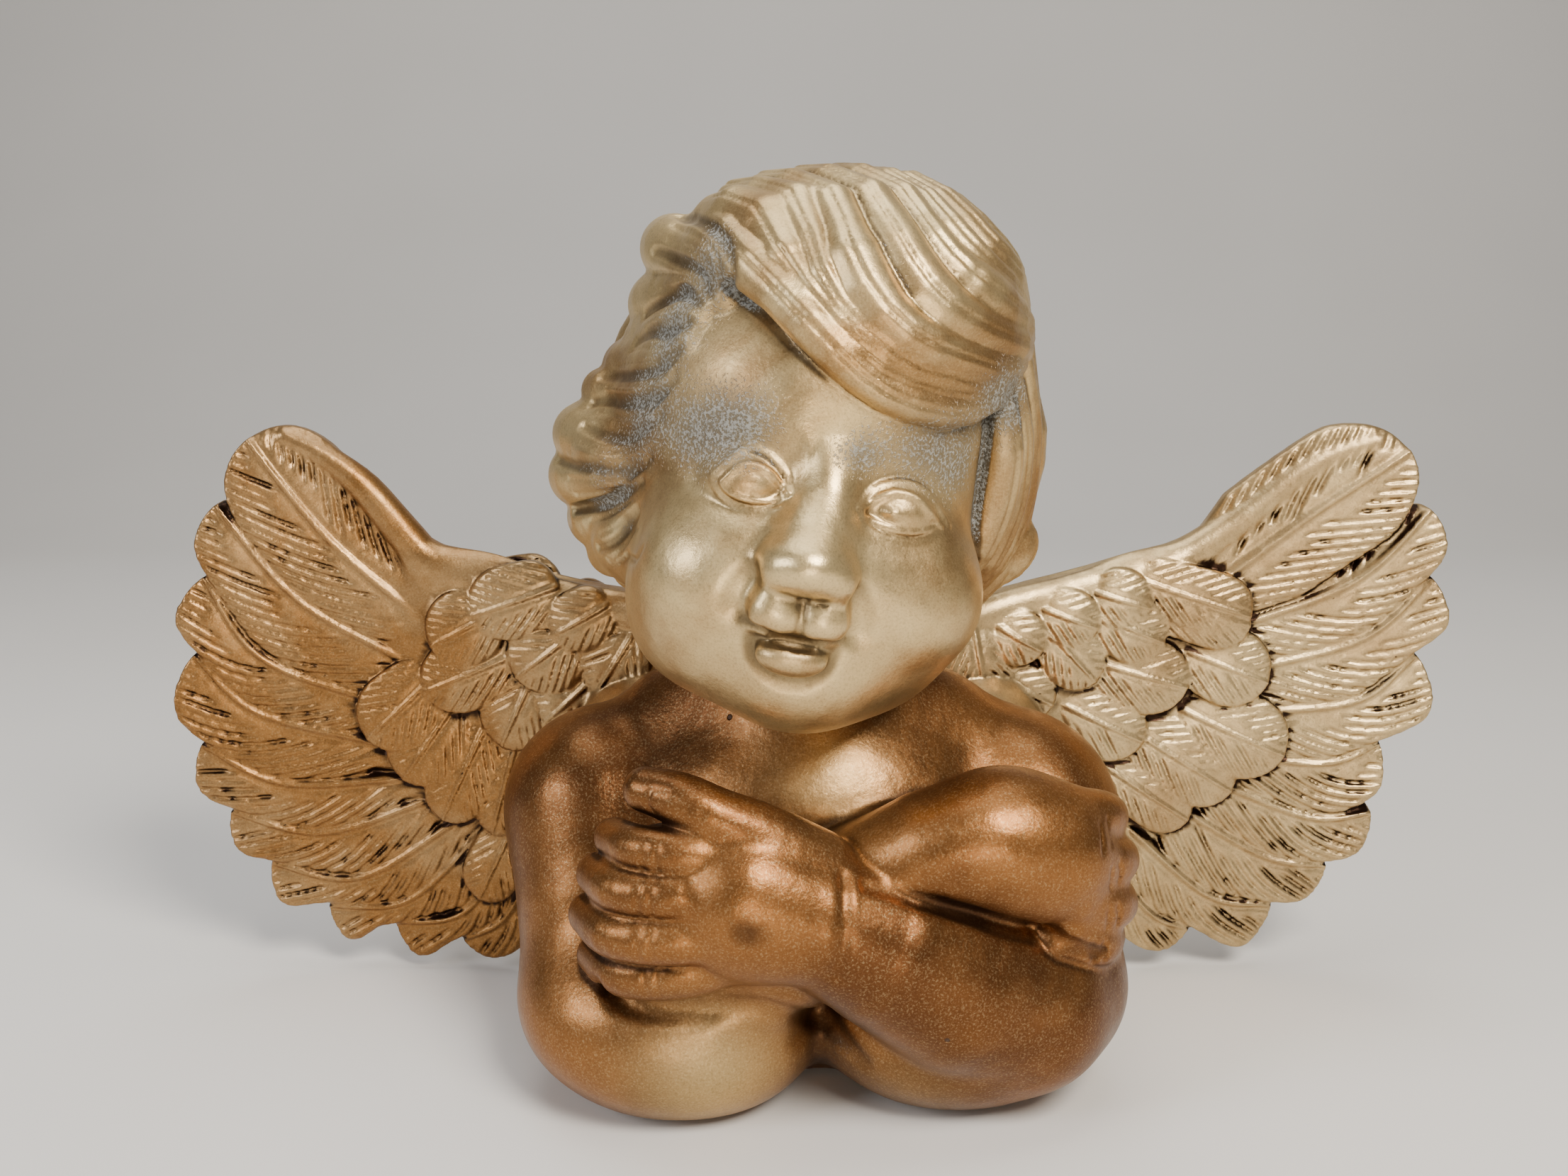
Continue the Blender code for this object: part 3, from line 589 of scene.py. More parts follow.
LEFT_TAIL = ((3, 9, -0.5), (10, 17, -2))  # how they go on round the back of the head
RIGHT_LOCKS = (
    ((35, -29.5, 18), (37.5, -26, 10), (38.5, -22, 1), (37.8, -19.5, -8), (36, -14, -19)),
    ((36.5, -27, 23), (41, -19.5, 13), (42.5, -16, 1), (41, -14.5, -10), (38.5, -9.5, -21)),
    ((39, -22, 28), (44.5, -13, 15), (46, -9.5, 1), (44, -9, -11), (40, -4, -23)),
    ((41, -14, 32), (47.5, -3, 16), (49, -1.5, 0), (46.5, -2.5, -14), (40.5, 0, -27)),
    ((41, -4, 36), (48, 7, 18), (50, 8, 0), (47, 7, -16), (38.5, 7, -30)),
    ((42, 8, 33), (47.5, 17, 16), (48.5, 18, 0), (44.5, 17, -17), (36, 15, -32)),
    ((47, 0, -1), (51, 0, -6), (51.5, -1, -10), (47, -1, -18)),
)
head.egg((3, 8, 16), (36.8, 40.5, 39.3), 2)  # the cap that fills the space under the locks
head.egg((-19, 17, 5), (18.5, 29, 31), 4)
head.egg((27, 10, 0), (18.5, 28, 32), 4)
head.egg((3, 22, -10), (35, 22, 30), 4)
head.egg((23, -2, 25), (19, 28, 20), 4)
head.egg((22, 2, 34), (19, 21, 19), 4)
for centre, radii in LEFT_MASSES:
    head.egg(centre, radii, 3)
print("locks beside the left cheek:", combed(LEFT_VALLEYS, (), 0.74, 0.8, 1.2, tail=LEFT_TAIL))
left_valleys = [smooth_path(valley, 10) for valley in LEFT_VALLEYS]
for lower, upper in zip(left_valleys, left_valleys[1:]):
    # the valley, then two fine strands above it
    for share, width in ((0.0, 1.25), (0.36, 0.5), (0.7, 0.5)):
        crease = (lower + share * (upper - lower))[: 8 if share else 9]
        head.line(
            crease[:, [0, 2]], (0.4 * width, width, width, 0.6 * width), 1.3 * width, carve=True, lift=0.15,
        )
for path in RIGHT_LOCKS:
    lock(smooth_path(path), (2.6, 4.4, 5.0, 4.6, 2.2), (-25, 30))

# %% Locks on the crown and the back
# These follow one rule: each starts at the crown and runs down the skull with a slow wave, half sunk in it.
CROWN = np.array((3.0, 8.0, 15.0))
BACK_LOCKS = 13


def skull_along(direction):
    """Where the ray from the middle of the skull leaves the clay."""
    steps = np.arange(20, 64, 0.5)[:, None]
    inside = head.sample(CROWN + steps * direction) < 0
    return steps[np.nonzero(inside)[0][-1]] * direction


back_paths = []
for k in range(BACK_LOCKS):
    share = k / (BACK_LOCKS - 1)
    path = []
    for fall in np.linspace(0.22, 2.5, 10):
        swing = math.radians(4 + 150 * share) + 0.13 * math.sin(3.1 * fall + 0.9 * k)
        out = np.array((math.cos(swing) * math.sin(fall), math.sin(swing) * math.sin(fall), math.cos(fall)))
        path.append(CROWN + skull_along(out) - 2.6 * out)
    back_paths.append(smooth_path(path, 18))
for path in back_paths:
    lock(path, (2.5, 4.6, 5.8, 6.0, 5.6, 4.8), (-28, 18))
print("back locks:", BACK_LOCKS)

# %% [markdown]
# Dust settles where nobody wipes: in the eye sockets, under the fringe, along the temples. Each spot is a
# place on the head, how far it spreads and how thick it is.

# %% Dust on the head
HEAD_DUST = (
    ((-17, -45, 7), 9, 0.60), ((-25, -37, 3), 9, 0.60), ((5, -48, 5), 6, 0.50), ((18, -44, 8), 9, 0.50),
    ((28, -37, 5), 9, 0.45), ((36, -31, 20), 8, 0.55), ((29, -38, 21), 8, 0.40), ((-23, -31, 35), 8, 0.65),
    ((-29, -25, 22), 9, 0.60), ((-31, -20, 5), 11, 0.55), (
        (-34, -8, -10), 10, 0.40,
    ), ((38, -20, 0), 9, 0.22),
    ((2, -44, 30), 14, 0.16), ((12, -36, 42), 22, 0.18), ((44, -6, 0), 20, 0.14), (
        (-14, -50, -21), 5, 0.25,
    ),
)

head_skin = skin(head, "head_casting")
scatter_spots(head_skin, "dust", HEAD_DUST)
# painted highlights: pale gold on the middle of the forehead and under the chin, where the light shines
scatter_spots(head_skin, "painted_highlight", (((2, -46, 10), 8, 0.35), ((3, -36, -44), 8, 0.3)))
placed(head_skin, head_place)
# %% [markdown]
# ## Feathers
# A wing is thirty or so feathers that differ only in where the shaft runs and how wide the vane is, so a
# Geometry Nodes tree makes them from bare shaft lines. It resamples each line, sweeps a ring along it, and
# moves the ring's points by formula. The ring's angle gives the place across the vane. The tip rounds
# off, the shaft stands up in the middle, and slanting slits part the barbs. Each slit has its own depth.
# Sizes are inputs of the tree, in millimetres, so the same tree makes long flight feathers and short coverts.

# %% A small helper for nodes
VECTOR, MAP = "ShaderNodeVectorMath", "ShaderNodeMapRange"
MIX, NOISE = "ShaderNodeMix", "ShaderNodeTexNoise"
READ, KEEP = "GeometryNodeInputNamedAttribute", "GeometryNodeStoreNamedAttribute"
SIGNS = {"+": "ADD", "-": "SUBTRACT", "*": "MULTIPLY", "/": "DIVIDE"}
SMOOTH = {"interpolation_type": "SMOOTHSTEP"}  # a Map Range that eases in and out
COLOURS = {"data_type": "RGBA", "out": 2}  # a Mix of two colours: factor 0, colours 6 and 7


def add(tree, kind, *inputs, out=0, **more):
    """Adds a node and gives one of its outputs.

    kind is a node type, or a Math node's operation or sign. Inputs come in order, or in a dict by
    number, or by name with a capital letter. Names without a capital are the node's settings.
    """
    maths = not kind.startswith(("Shader", "Geometry", "Function"))
    node = tree.nodes.new("ShaderNodeMath" if maths else kind)
    if maths:
        node.operation = SIGNS.get(kind, kind)
    filled = dict(inputs[0] if inputs and isinstance(inputs[0], dict) else enumerate(inputs))
    for key, value in more.items():
        if key[0].isupper():
            filled[key.replace("_", " ")] = value
        else:
            setattr(node, key, value)
    for key, value in filled.items():
        if isinstance(value, bpy.types.NodeSocket):
            tree.links.new(value, node.inputs[key])
        else:
            node.inputs[key].default_value = value
    return node.outputs[out]


def node_tree(name, sizes):
    """An empty Geometry Nodes tree with Geometry, the named sizes, Seed and Material as its inputs."""
    tree = bpy.data.node_groups.new(name, "GeometryNodeTree")
    tree.interface.new_socket("Geometry", in_out="INPUT", socket_type="NodeSocketGeometry")
    for label, value in sizes.items():
        socket = tree.interface.new_socket(label, in_out="INPUT", socket_type="NodeSocketFloat")
        socket.default_value = value
    tree.interface.new_socket("Seed", in_out="INPUT", socket_type="NodeSocketInt")
    tree.interface.new_socket("Material", in_out="INPUT", socket_type="NodeSocketMaterial")
    tree.interface.new_socket("Geometry", in_out="OUTPUT", socket_type="NodeSocketGeometry")
    return tree, tree.nodes.new("NodeGroupInput").outputs


def run_tree(obj, tree, **values):
    """Runs the tree on the object with these inputs and keeps the result as its mesh."""
    modifier = obj.modifiers.new("made", "NODES")
    modifier.node_group = tree
    for item in tree.interface.items_tree:
        if item.in_out == "INPUT" and item.name.replace(" ", "_") in values:
            modifier[item.identifier] = values[item.name.replace(" ", "_")]
    return applied(obj)


# %% The feather tree
FEATHER_SIZES = {
    "Step": 0.4, "Thickness": 3.3, "Roll": 1.6, "Outer Side": 1.0, "Shaft Width": 2.4, "Shaft Height": 0.75,
    "Barb Pitch": 4.3, "Barb Depth": 2.2, "Barb Lean": 1.5, "Barb Mouth": 1.2,
}
feather, given = node_tree("feather", FEATHER_SIZES)
put = partial(add, feather)

line = put("GeometryNodeMeshToCurve", given["Geometry"])
line = put("GeometryNodeResampleCurve", Curve=line, Length=given["Step"], mode="LENGTH")
line = put(KEEP, line, Name="place", Value=put("GeometryNodeInputPosition"), data_type="FLOAT_VECTOR")
line = put(KEEP, line, Name="along", Value=put("GeometryNodeInputTangent"), data_type="FLOAT_VECTOR")
line = put(KEEP, line, Name="run", Value=put("GeometryNodeSplineParameter", out=1))
line = put(KEEP, line, Name="whole", Value=put("GeometryNodeSplineLength"))
ring = put("GeometryNodeCurvePrimitiveCircle", Resolution=150, Radius=1.0)
ring = put(KEEP, ring, Name="round", Value=put("GeometryNodeSplineParameter"))
tube = put("GeometryNodeCurveToMesh", Curve=line, Profile_Curve=ring, Fill_Caps=True)

angle = put("*", put(READ, "round"), 2 * math.pi)
across = put("COSINE", angle)  # from -1 to 1 across the vane
facing = put("SINE", angle)  # positive on the front of the vane
run = put(READ, "run")
half = put(READ, "half_width")
whole = put(READ, "whole")
to_tip = put("-", whole, run)
tip = put("-", 1.0, put("/", to_tip, put("*", half, 1.25)), use_clamp=True)
butt = put("-", 1.0, put("/", run, put("*", half, 0.8)), use_clamp=True)
narrowed = put("POWER", put("MAXIMUM", tip, butt), 2.3)
taper = put("SQRT", put("MAXIMUM", put("-", 1.0, narrowed), 0.006))
outward = put("*", across, given["Outer Side"])  # the vane nearer the wing's leading edge
less = put("-", put(READ, "outer_share"), 1.0)
share = put("+", 1.0, put("*", put("GREATER_THAN", outward, 0.0), less))
width = put("*", put("*", half, share), taper)
off_shaft = put("ABSOLUTE", put("*", across, width))

# %% [markdown]
# The slits lean towards the tip. Their number along the shaft comes from rounding down, and a random value
# for that number, that side and that feather makes every barb a little different.

# %% Barbs
lean = put("*", off_shaft, given["Barb Lean"])
bow = put("*", put("*", off_shaft, off_shaft), -0.02)
count = put("/", put("+", put("-", run, lean), bow), given["Barb Pitch"])
side = put("*", put("GREATER_THAN", across, 0.0), 0.5)
count = put("+", count, side)  # the two vanes are half a pitch apart
feather_number = put("*", put(READ, "number"), 97.0)
which = put("+", put("FLOOR", count), put("+", put("*", side, 400.0), feather_number))
chance = put(
    "FunctionNodeRandomValue", Min=0.0, Max=1.0, ID=which, Seed=given["Seed"], out=1, data_type="FLOAT",
)
other_which, other_seed = put("+", which, 0.51), put("+", given["Seed"], 7)
chance_2 = put(
    "FunctionNodeRandomValue", Min=0.0, Max=1.0, ID=other_which, Seed=other_seed, out=1, data_type="FLOAT",
)
from_middle = put("ABSOLUTE", put("-", put("FRACT", count), 0.5))
from_slit = put("*", from_middle, given["Barb Pitch"])
slit = put("-", 1.0, put("/", from_slit, given["Barb Mouth"]), use_clamp=True)
left = put("/", to_tip, whole)
shaft_half = put("*", given["Shaft Width"], put("+", 0.3, put("*", 0.25, left)))
starts = put("+", shaft_half, put("*", chance_2, put("*", width, 0.3)))
grown = put(MAP, off_shaft, starts, put("+", starts, 1.6), 0.0, 1.0, **SMOOTH)
ends = put(MAP, put("ABSOLUTE", across), 0.86, 0.995, 1.0, 0.35, **SMOOTH)
deep = put("*", given["Barb Depth"], put("+", 0.45, put("*", chance, 0.55)))
slit = put("*", put("*", slit, grown), put("*", ends, deep))

# %% Shaft, shape and finish
ridge = put("-", 1.0, put("POWER", put("/", off_shaft, shaft_half), 2.0), use_clamp=True)
from_gutter = put("ABSOLUTE", put("-", put("/", off_shaft, shaft_half), 1.35))
gutter = put("-", 1.0, from_gutter, use_clamp=True)
sunk = put("+", slit, put("*", gutter, 0.32))
relief = put("-", put("*", ridge, given["Shaft Height"]), sunk)
full = put("POWER", put("ABSOLUTE", facing), 0.4)
thinned_out = put("+", 0.35, put("*", taper, 0.65))
body = put("*", put("*", full, thinned_out), given["Thickness"])
height = put("*", put("+", body, put("*", relief, full)), put("SIGN", facing))
sideways = put(VECTOR, put(READ, "along", data_type="FLOAT_VECTOR"), (0, 1, 0), operation="CROSS_PRODUCT")
sideways = put(VECTOR, sideways, operation="NORMALIZE")
spread = put(VECTOR, sideways, Scale=put("*", across, width), operation="SCALE")
raised = put("ShaderNodeCombineXYZ", {1: put("-", put("*", outward, given["Roll"]), height)})
moved = put(VECTOR, put(READ, "place", data_type="FLOAT_VECTOR"), put(VECTOR, spread, raised))
tube = put("GeometryNodeSetPosition", Geometry=tube, Position=moved)
tube = put("GeometryNodeRealizeInstances", Geometry=tube)
tube = put("GeometryNodeSetMaterial", Geometry=tube, Material=given["Material"])
feather.links.new(tube, feather.nodes.new("NodeGroupOutput").inputs["Geometry"])
print("feather tree:", len(feather.nodes), "nodes")

# %% [markdown]
# The shafts are drawn on a flat wing, looking at its front: how far out from the middle of the figure, and
# how high. The whole wing is bent back to its sweep only at the end, after its skin is made.

# %% Where the feathers grow
FLIGHT = {
    "left": (  # root, middle, tip, half width
        ((90, 88), (111, 107), (129, 131), 10.5), ((94, 78), (119, 93), (137, 116), 9.5),
        ((100, 68), (128, 79), (141, 99), 9), ((100, 58), (130, 66), (144.5, 80.5), 9),
        ((96, 50), (125, 48.5), (144.5, 58.5), 9), ((90, 45), (117, 36), (139, 41.5), 8.5),
        ((84, 40), (109, 24.5), (130.5, 28), 8.5), ((76, 40), (97, 19), (117.5, 16.5), 8),
        ((70, 36), (84, 16), (101.5, 12), 7.5), ((66, 32), (74, 15), (85, 8), 7),
    ),
    "right": (
        ((90, 94), (115, 113.5), (136.5, 128.5), 10.5), ((96, 86), (125, 97.5), (142, 115), 10),
        ((100, 76), (128, 84), (143.5, 99), 9.5), ((102, 66), (128, 69), (141.5, 80.5), 10.5),
        ((98, 56), (122, 53.5), (135, 58.5), 10), ((94, 50), (119, 40), (134.5, 41), 8.5),
        ((86, 44), (109, 30), (125, 27), 8.5), ((76, 38), (96, 20), (112.5, 16.5), 8),
        ((68, 34), (82, 16), (92.5, 10.5), 7.5),
    ),
}
COVERTS = {
    "left": (  # root, tip, half width; each lies over the ones before it
        ((71, 39), (80, 20), 5.3), ((78, 61), (88, 40), 5.8), ((70, 58), (76, 37), 4.9),
        ((86, 66), (97, 50), 6.9), ((90, 74), (105, 60), 7.1), ((66, 74), (73, 59), 6.9),
        ((72, 80), (91, 72), 6.6), ((52, 75), (63, 65), 5.5), ((74, 91), (89, 83), 6.9),
        ((55, 87), (69, 76), 7.1), ((61, 97), (79, 90.5), 6.6), ((48, 93.5), (60, 86.5), 5.4),
        ((42, 86), (50, 73), 6.4),
    ),
    "right": (
        ((78, 61), (100, 47), 6.4), ((71, 53), (90, 40), 5.5), ((90, 66), (112, 56), 7.8),
        ((89, 81), (107, 74), 7.1), ((60, 69), (78, 60), 6.4), ((68, 79), (88, 73), 6.9),
        ((82, 92), (102, 88), 5.5), ((66, 91), (82, 84), 6), ((55, 87), (66, 75), 5.5),
        ((78, 98), (102, 90), 5.6), ((66, 96), (78, 92.5), 5.5), ((54, 92.5), (66, 88), 5.1),
        ((43, 89), (53, 83), 5.1), ((44, 77), (56, 70), 4.6), ((37, 88), (40, 72), 7.1),
    ),
}
COVERT_PADS = (  # what the coverts lie on
    ((72, 0, 62), (34, 3.8, 33)), ((82, 0, 90), (24, 3.8, 15)), ((52, 0, 66), (29, 3.8, 28)),
    ((38, 0, 72), (14, 4, 19)),
)
LEADING_EDGE = {
    "left": (
        (30, 91), (43, 92), (60, 94), (75, 96.7), (89, 102), (94.7, 108), (98.6, 113), (103.4, 119),
        (108, 123.2), (114, 127.5), (121, 131),
    ),
    "right": (
        (30, 88), (41, 91), (48, 93), (64, 96), (80.5, 100.3), (88.5, 104), (95.7, 108.8), (102.5, 114.2),
        (110.7, 121.3), (118.8, 126.5), (129, 130),
    ),
}
LUG = ((38, -7, 60), (16, 11, 17))  # laps the back of the shoulder


def shafts(name, lines, fan=False):
    """A mesh of bare lines, with the vane's width on each point. In a fan it reaches to the next shaft."""
    points, widths, outer, numbers, edges = [], [], [], [], []
    for number, (path, half_width) in enumerate(lines):
        path = smooth_path(path, 18)
        grow = np.linspace(0, 1, len(path))
        edges += [(len(points) + k, len(points) + k + 1) for k in range(len(path) - 1)]
        points += path.tolist()
        wide = half_width * (0.9 + 0.3 * np.sin(np.minimum(grow * 2.2, math.pi / 2)))
        if fan and number + 1 < len(lines):
            beside = smooth_path(lines[number + 1][0], 60)
            wide = np.clip(np.linalg.norm(path[:, None] - beside[None], axis=2).min(1) - 0.8, 5, 15)
        widths += wide.tolist()
        outer += [0.4 if fan and number else 1.0] * len(path)
        numbers += [number] * len(path)
    mesh = bpy.data.meshes.new(name)
    mesh.from_pydata(points, edges, [])
    obj = bpy.data.objects.new(name, mesh)
    bpy.context.scene.collection.objects.link(obj)
    store(obj, "half_width", widths)
    store(obj, "outer_share", outer)
    store(obj, "number", numbers)
    return obj


def join_mesh(clay, obj, soft):
    """Adds a closed mesh, whose parts may run through each other, to the clay."""
    mesh = obj.data
    mesh.calc_loop_triangles()
    corners = np.empty(len(mesh.loop_triangles) * 3, np.int32)
    mesh.loop_triangles.foreach_get("vertices", corners)
    points = (positions(obj) - clay.low) / clay.step
    corners = corners.reshape(-1, 3).astype(np.uint32)
    solid = openvdb.FloatGrid.createLevelSetFromPolygons(points, triangles=corners, halfWidth=4.0)
    distance = np.empty(clay.field.shape, np.float32)
    solid.copyToArray(distance)
    clay.field = soft_min(clay.field, distance * clay.step, soft)
    bpy.data.objects.remove(obj)


# %% Build a wing
SWEEP, CURL = 40.0, -30.0  # how far back the wing goes, and how much the end of it curls forward
COVERT_SIZES = {
    "Thickness": 2.2, "Roll": 0.5, "Shaft_Width": 1.5, "Shaft_Height": 0.4, "Barb_Pitch": 3.1,
    "Barb_Depth": 1.6, "Barb_Mouth": 0.9, "Barb_Lean": 1.3,
}


def wing(side, sign):
    """One wing, on the -X side when sign is -1: flight feathers, then coverts on both faces."""
    near, far = sorted((sign * 14, sign * 153))
    clay = Clay((near, -22, -2), (far, 14, 136), 0.45)
    for centre, radii in COVERT_PADS:
        clay.egg(np.array(centre) * (sign, 1, 1), radii, 5)
    edge = smooth_path([(sign * x, 0.4, z) for x, z in LEADING_EDGE[side]], 24)
    clay.stroke(edge, (5, 4.8, 4.6, 4.4, 4, 3.2, 2.4), 3)
    clay.egg(np.array(LUG[0]) * (sign, 1, 1), LUG[1], 6)
    flight = [([(sign * x, 0.0, z) for x, z in row[:3]], row[3]) for row in FLIGHT[side]]
    for (path, _), (below, _) in zip(flight, flight[1:]):  # the web that closes the gaps between the shafts
        between = (smooth_path(path, 10) + smooth_path(below, 10)) / 2
        clay.stroke(between[:9], (4, 3.4, 3.2, 3.0, 2.2), 1)
    fan = run_tree(shafts(f"flight_{side}", flight, fan=True), feather, Outer_Side=float(sign), Seed=3)
    join_mesh(clay, fan, 0.5)
    for back in (1, -1):  # the same coverts on the front and on the back
        coverts = []
        for k, ((x0, z0), (x1, z1), half_width) in enumerate(COVERTS[side]):
            rise = -3.1 - 0.03 * k
            x0, z0 = x0 - 0.15 * (x1 - x0), z0 - 0.15 * (z1 - z0)
            middle = (sign * (x0 + x1) / 2, back * (rise - 1.3), (z0 + z1) / 2)
            points = [(sign * x0, back * (rise + 0.6), z0), middle, (sign * x1, back * (rise - 1.7), z1)]
            coverts.append((points, 1.12 * half_width))
        rows = shafts(f"coverts_{side}", coverts)
        fan = run_tree(rows, feather, Seed=11 + back, Outer_Side=float(sign), **COVERT_SIZES)
        join_mesh(clay, fan, 0.35)
    obj = skin(clay, f"wing_casting_{side}")
    points = positions(obj)
    share = np.maximum(np.abs(points[:, 0]) - 20, 0) / 130
    points[:, 1] += 20 + SWEEP * share + CURL * share**2
    obj.data.vertices.foreach_set("co", points.ravel())
    return placed(obj, Matrix.Translation((0, SHIFT_Y, 0)))


wing_skins = {side: wing(side, sign) for side, sign in (("left", -1), ("right", 1))}

# %% [markdown]
# ## Felt pads
# Each pad is a disc punched from pressed wool felt: a low disc with a rolled rim, and a nap of short bent
# fibres over it. The nap is a thing that repeats over a surface, so a small tree scatters it.

# %% The nap tree
NAP_SIZES = {"Fibres Per Square Centimetre": 330.0, "Fibre Length": 0.0005, "Fibre Radius": 0.00006}
nap, given = node_tree("felt_nap", NAP_SIZES)
put = partial(add, nap)
facing_up = put("ShaderNodeSeparateXYZ", put("GeometryNodeInputNormal"), out=2)
not_under = put("GREATER_THAN", facing_up, -0.3)
density = put("*", given["Fibres Per Square Centimetre"], 10000.0)
spread = put(
    "GeometryNodeDistributePointsOnFaces", Mesh=given["Geometry"], Selection=not_under, Density=density,
    Seed=given["Seed"],
)
scatter = spread.node
arc = put(
    "GeometryNodeCurveArc", Resolution=4, Radius=given["Fibre Length"], Sweep_Angle=1.1, mode="RADIUS",
)
hair_ring = put("GeometryNodeCurvePrimitiveCircle", Resolution=3, Radius=given["Fibre Radius"])
fibre = put("GeometryNodeCurveToMesh", Curve=arc, Profile_Curve=hair_ring, Fill_Caps=True)
lay = put(
    "FunctionNodeRandomValue", Min=(0.9, -0.5, 0.0), Max=(1.9, 0.5, 6.28), Seed=given["Seed"],
    data_type="FLOAT_VECTOR",
)
lay = put("FunctionNodeEulerToRotation", lay)
turn = put(
    "FunctionNodeRotateRotation", Rotation=scatter.outputs["Rotation"], Rotate_By=lay,
    rotation_space="LOCAL",
)
fibres = put("GeometryNodeInstanceOnPoints", Points=spread, Instance=fibre, Rotation=turn)
disc_and_nap = nap.nodes.new("GeometryNodeJoinGeometry")
nap.links.new(given["Geometry"], disc_and_nap.inputs[0])
nap.links.new(fibres, disc_and_nap.inputs[0])
whole = put("GeometryNodeRealizeInstances", Geometry=disc_and_nap.outputs[0])
whole = put("GeometryNodeSetMaterial", Geometry=whole, Material=given["Material"])
nap.links.new(whole, nap.nodes.new("NodeGroupOutput").inputs["Geometry"])


# %% Punch the pads
def felt_pad(node, seed, material):
    """A turned disc that fills the CAD pad's box, with a nap on it."""
    low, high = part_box(node)
    middle, radius = (low + high) / 2, (high.x - low.x) / 2 - 0.0003
    rim = 0.00045
    bottom = low.z + 0.00008
    profile = [(0.0, bottom), (radius - rim, bottom)]
    for a in (0.5, 1.0, math.pi / 2):
        profile.append((radius - rim + rim * math.sin(a), bottom + rim * (1 - math.cos(a))))
    profile += [
        (radius, high.z - rim), (radius - 0.3 * rim, high.z - 0.3 * rim), (radius - rim, high.z),
        (0.0, high.z),
    ]
    rows, sides = len(profile) - 2, 40
    around = np.linspace(0, 2 * math.pi, sides, endpoint=False)
    points = [(middle.x, middle.y, profile[0][1])]
    for r, z in profile[1:-1]:
        points += [(middle.x + r * math.cos(a), middle.y + r * math.sin(a), z) for a in around]
    points.append((middle.x, middle.y, profile[-1][1]))
    ring_at = lambda row, k: 1 + row * sides + k % sides
    faces = [(0, ring_at(0, k + 1), ring_at(0, k)) for k in range(sides)]
    for r in range(rows - 1):
        faces += [
            (ring_at(r, k), ring_at(r, k + 1), ring_at(r + 1, k + 1), ring_at(r + 1, k))
            for k in range(sides)
        ]
    faces += [(len(points) - 1, ring_at(rows - 1, k), ring_at(rows - 1, k + 1)) for k in range(sides)]
    mesh = bpy.data.meshes.new(node.replace("felt_pad", "felt"))
    mesh.from_pydata(points, [], faces)
    pad = bpy.data.objects.new(mesh.name, mesh)
    bpy.context.scene.collection.objects.link(pad)
    density = 330.0
    return run_tree(pad, nap, Fibres_Per_Square_Centimetre=density, Seed=seed, Material=material)


# %% [markdown]
# ## Finishes
# One recipe makes the gold paint, because the real figure was sprayed with one tin. It differs by casting
# in how coppery it is, what lies in the hollows and how much dust has settled. It also carries painted
# highlights, and on the wings a painted warm reflection. The vertex values for hollow, dust and painted
# highlights say where.

# %% Colour helpers
def colour(code):
    """A linear colour from an sRGB hex code."""
    parts = [int(code[k : k + 2], 16) / 255 for k in (1, 3, 5)]
    return (*[p / 12.92 if p <= 0.04045 else ((p + 0.055) / 1.055) ** 2.4 for p in parts], 1.0)


def new_material(name):
    material = bpy.data.materials.new(name)
    material.use_nodes = True
    return material, material.node_tree, material.node_tree.nodes["Principled BSDF"]


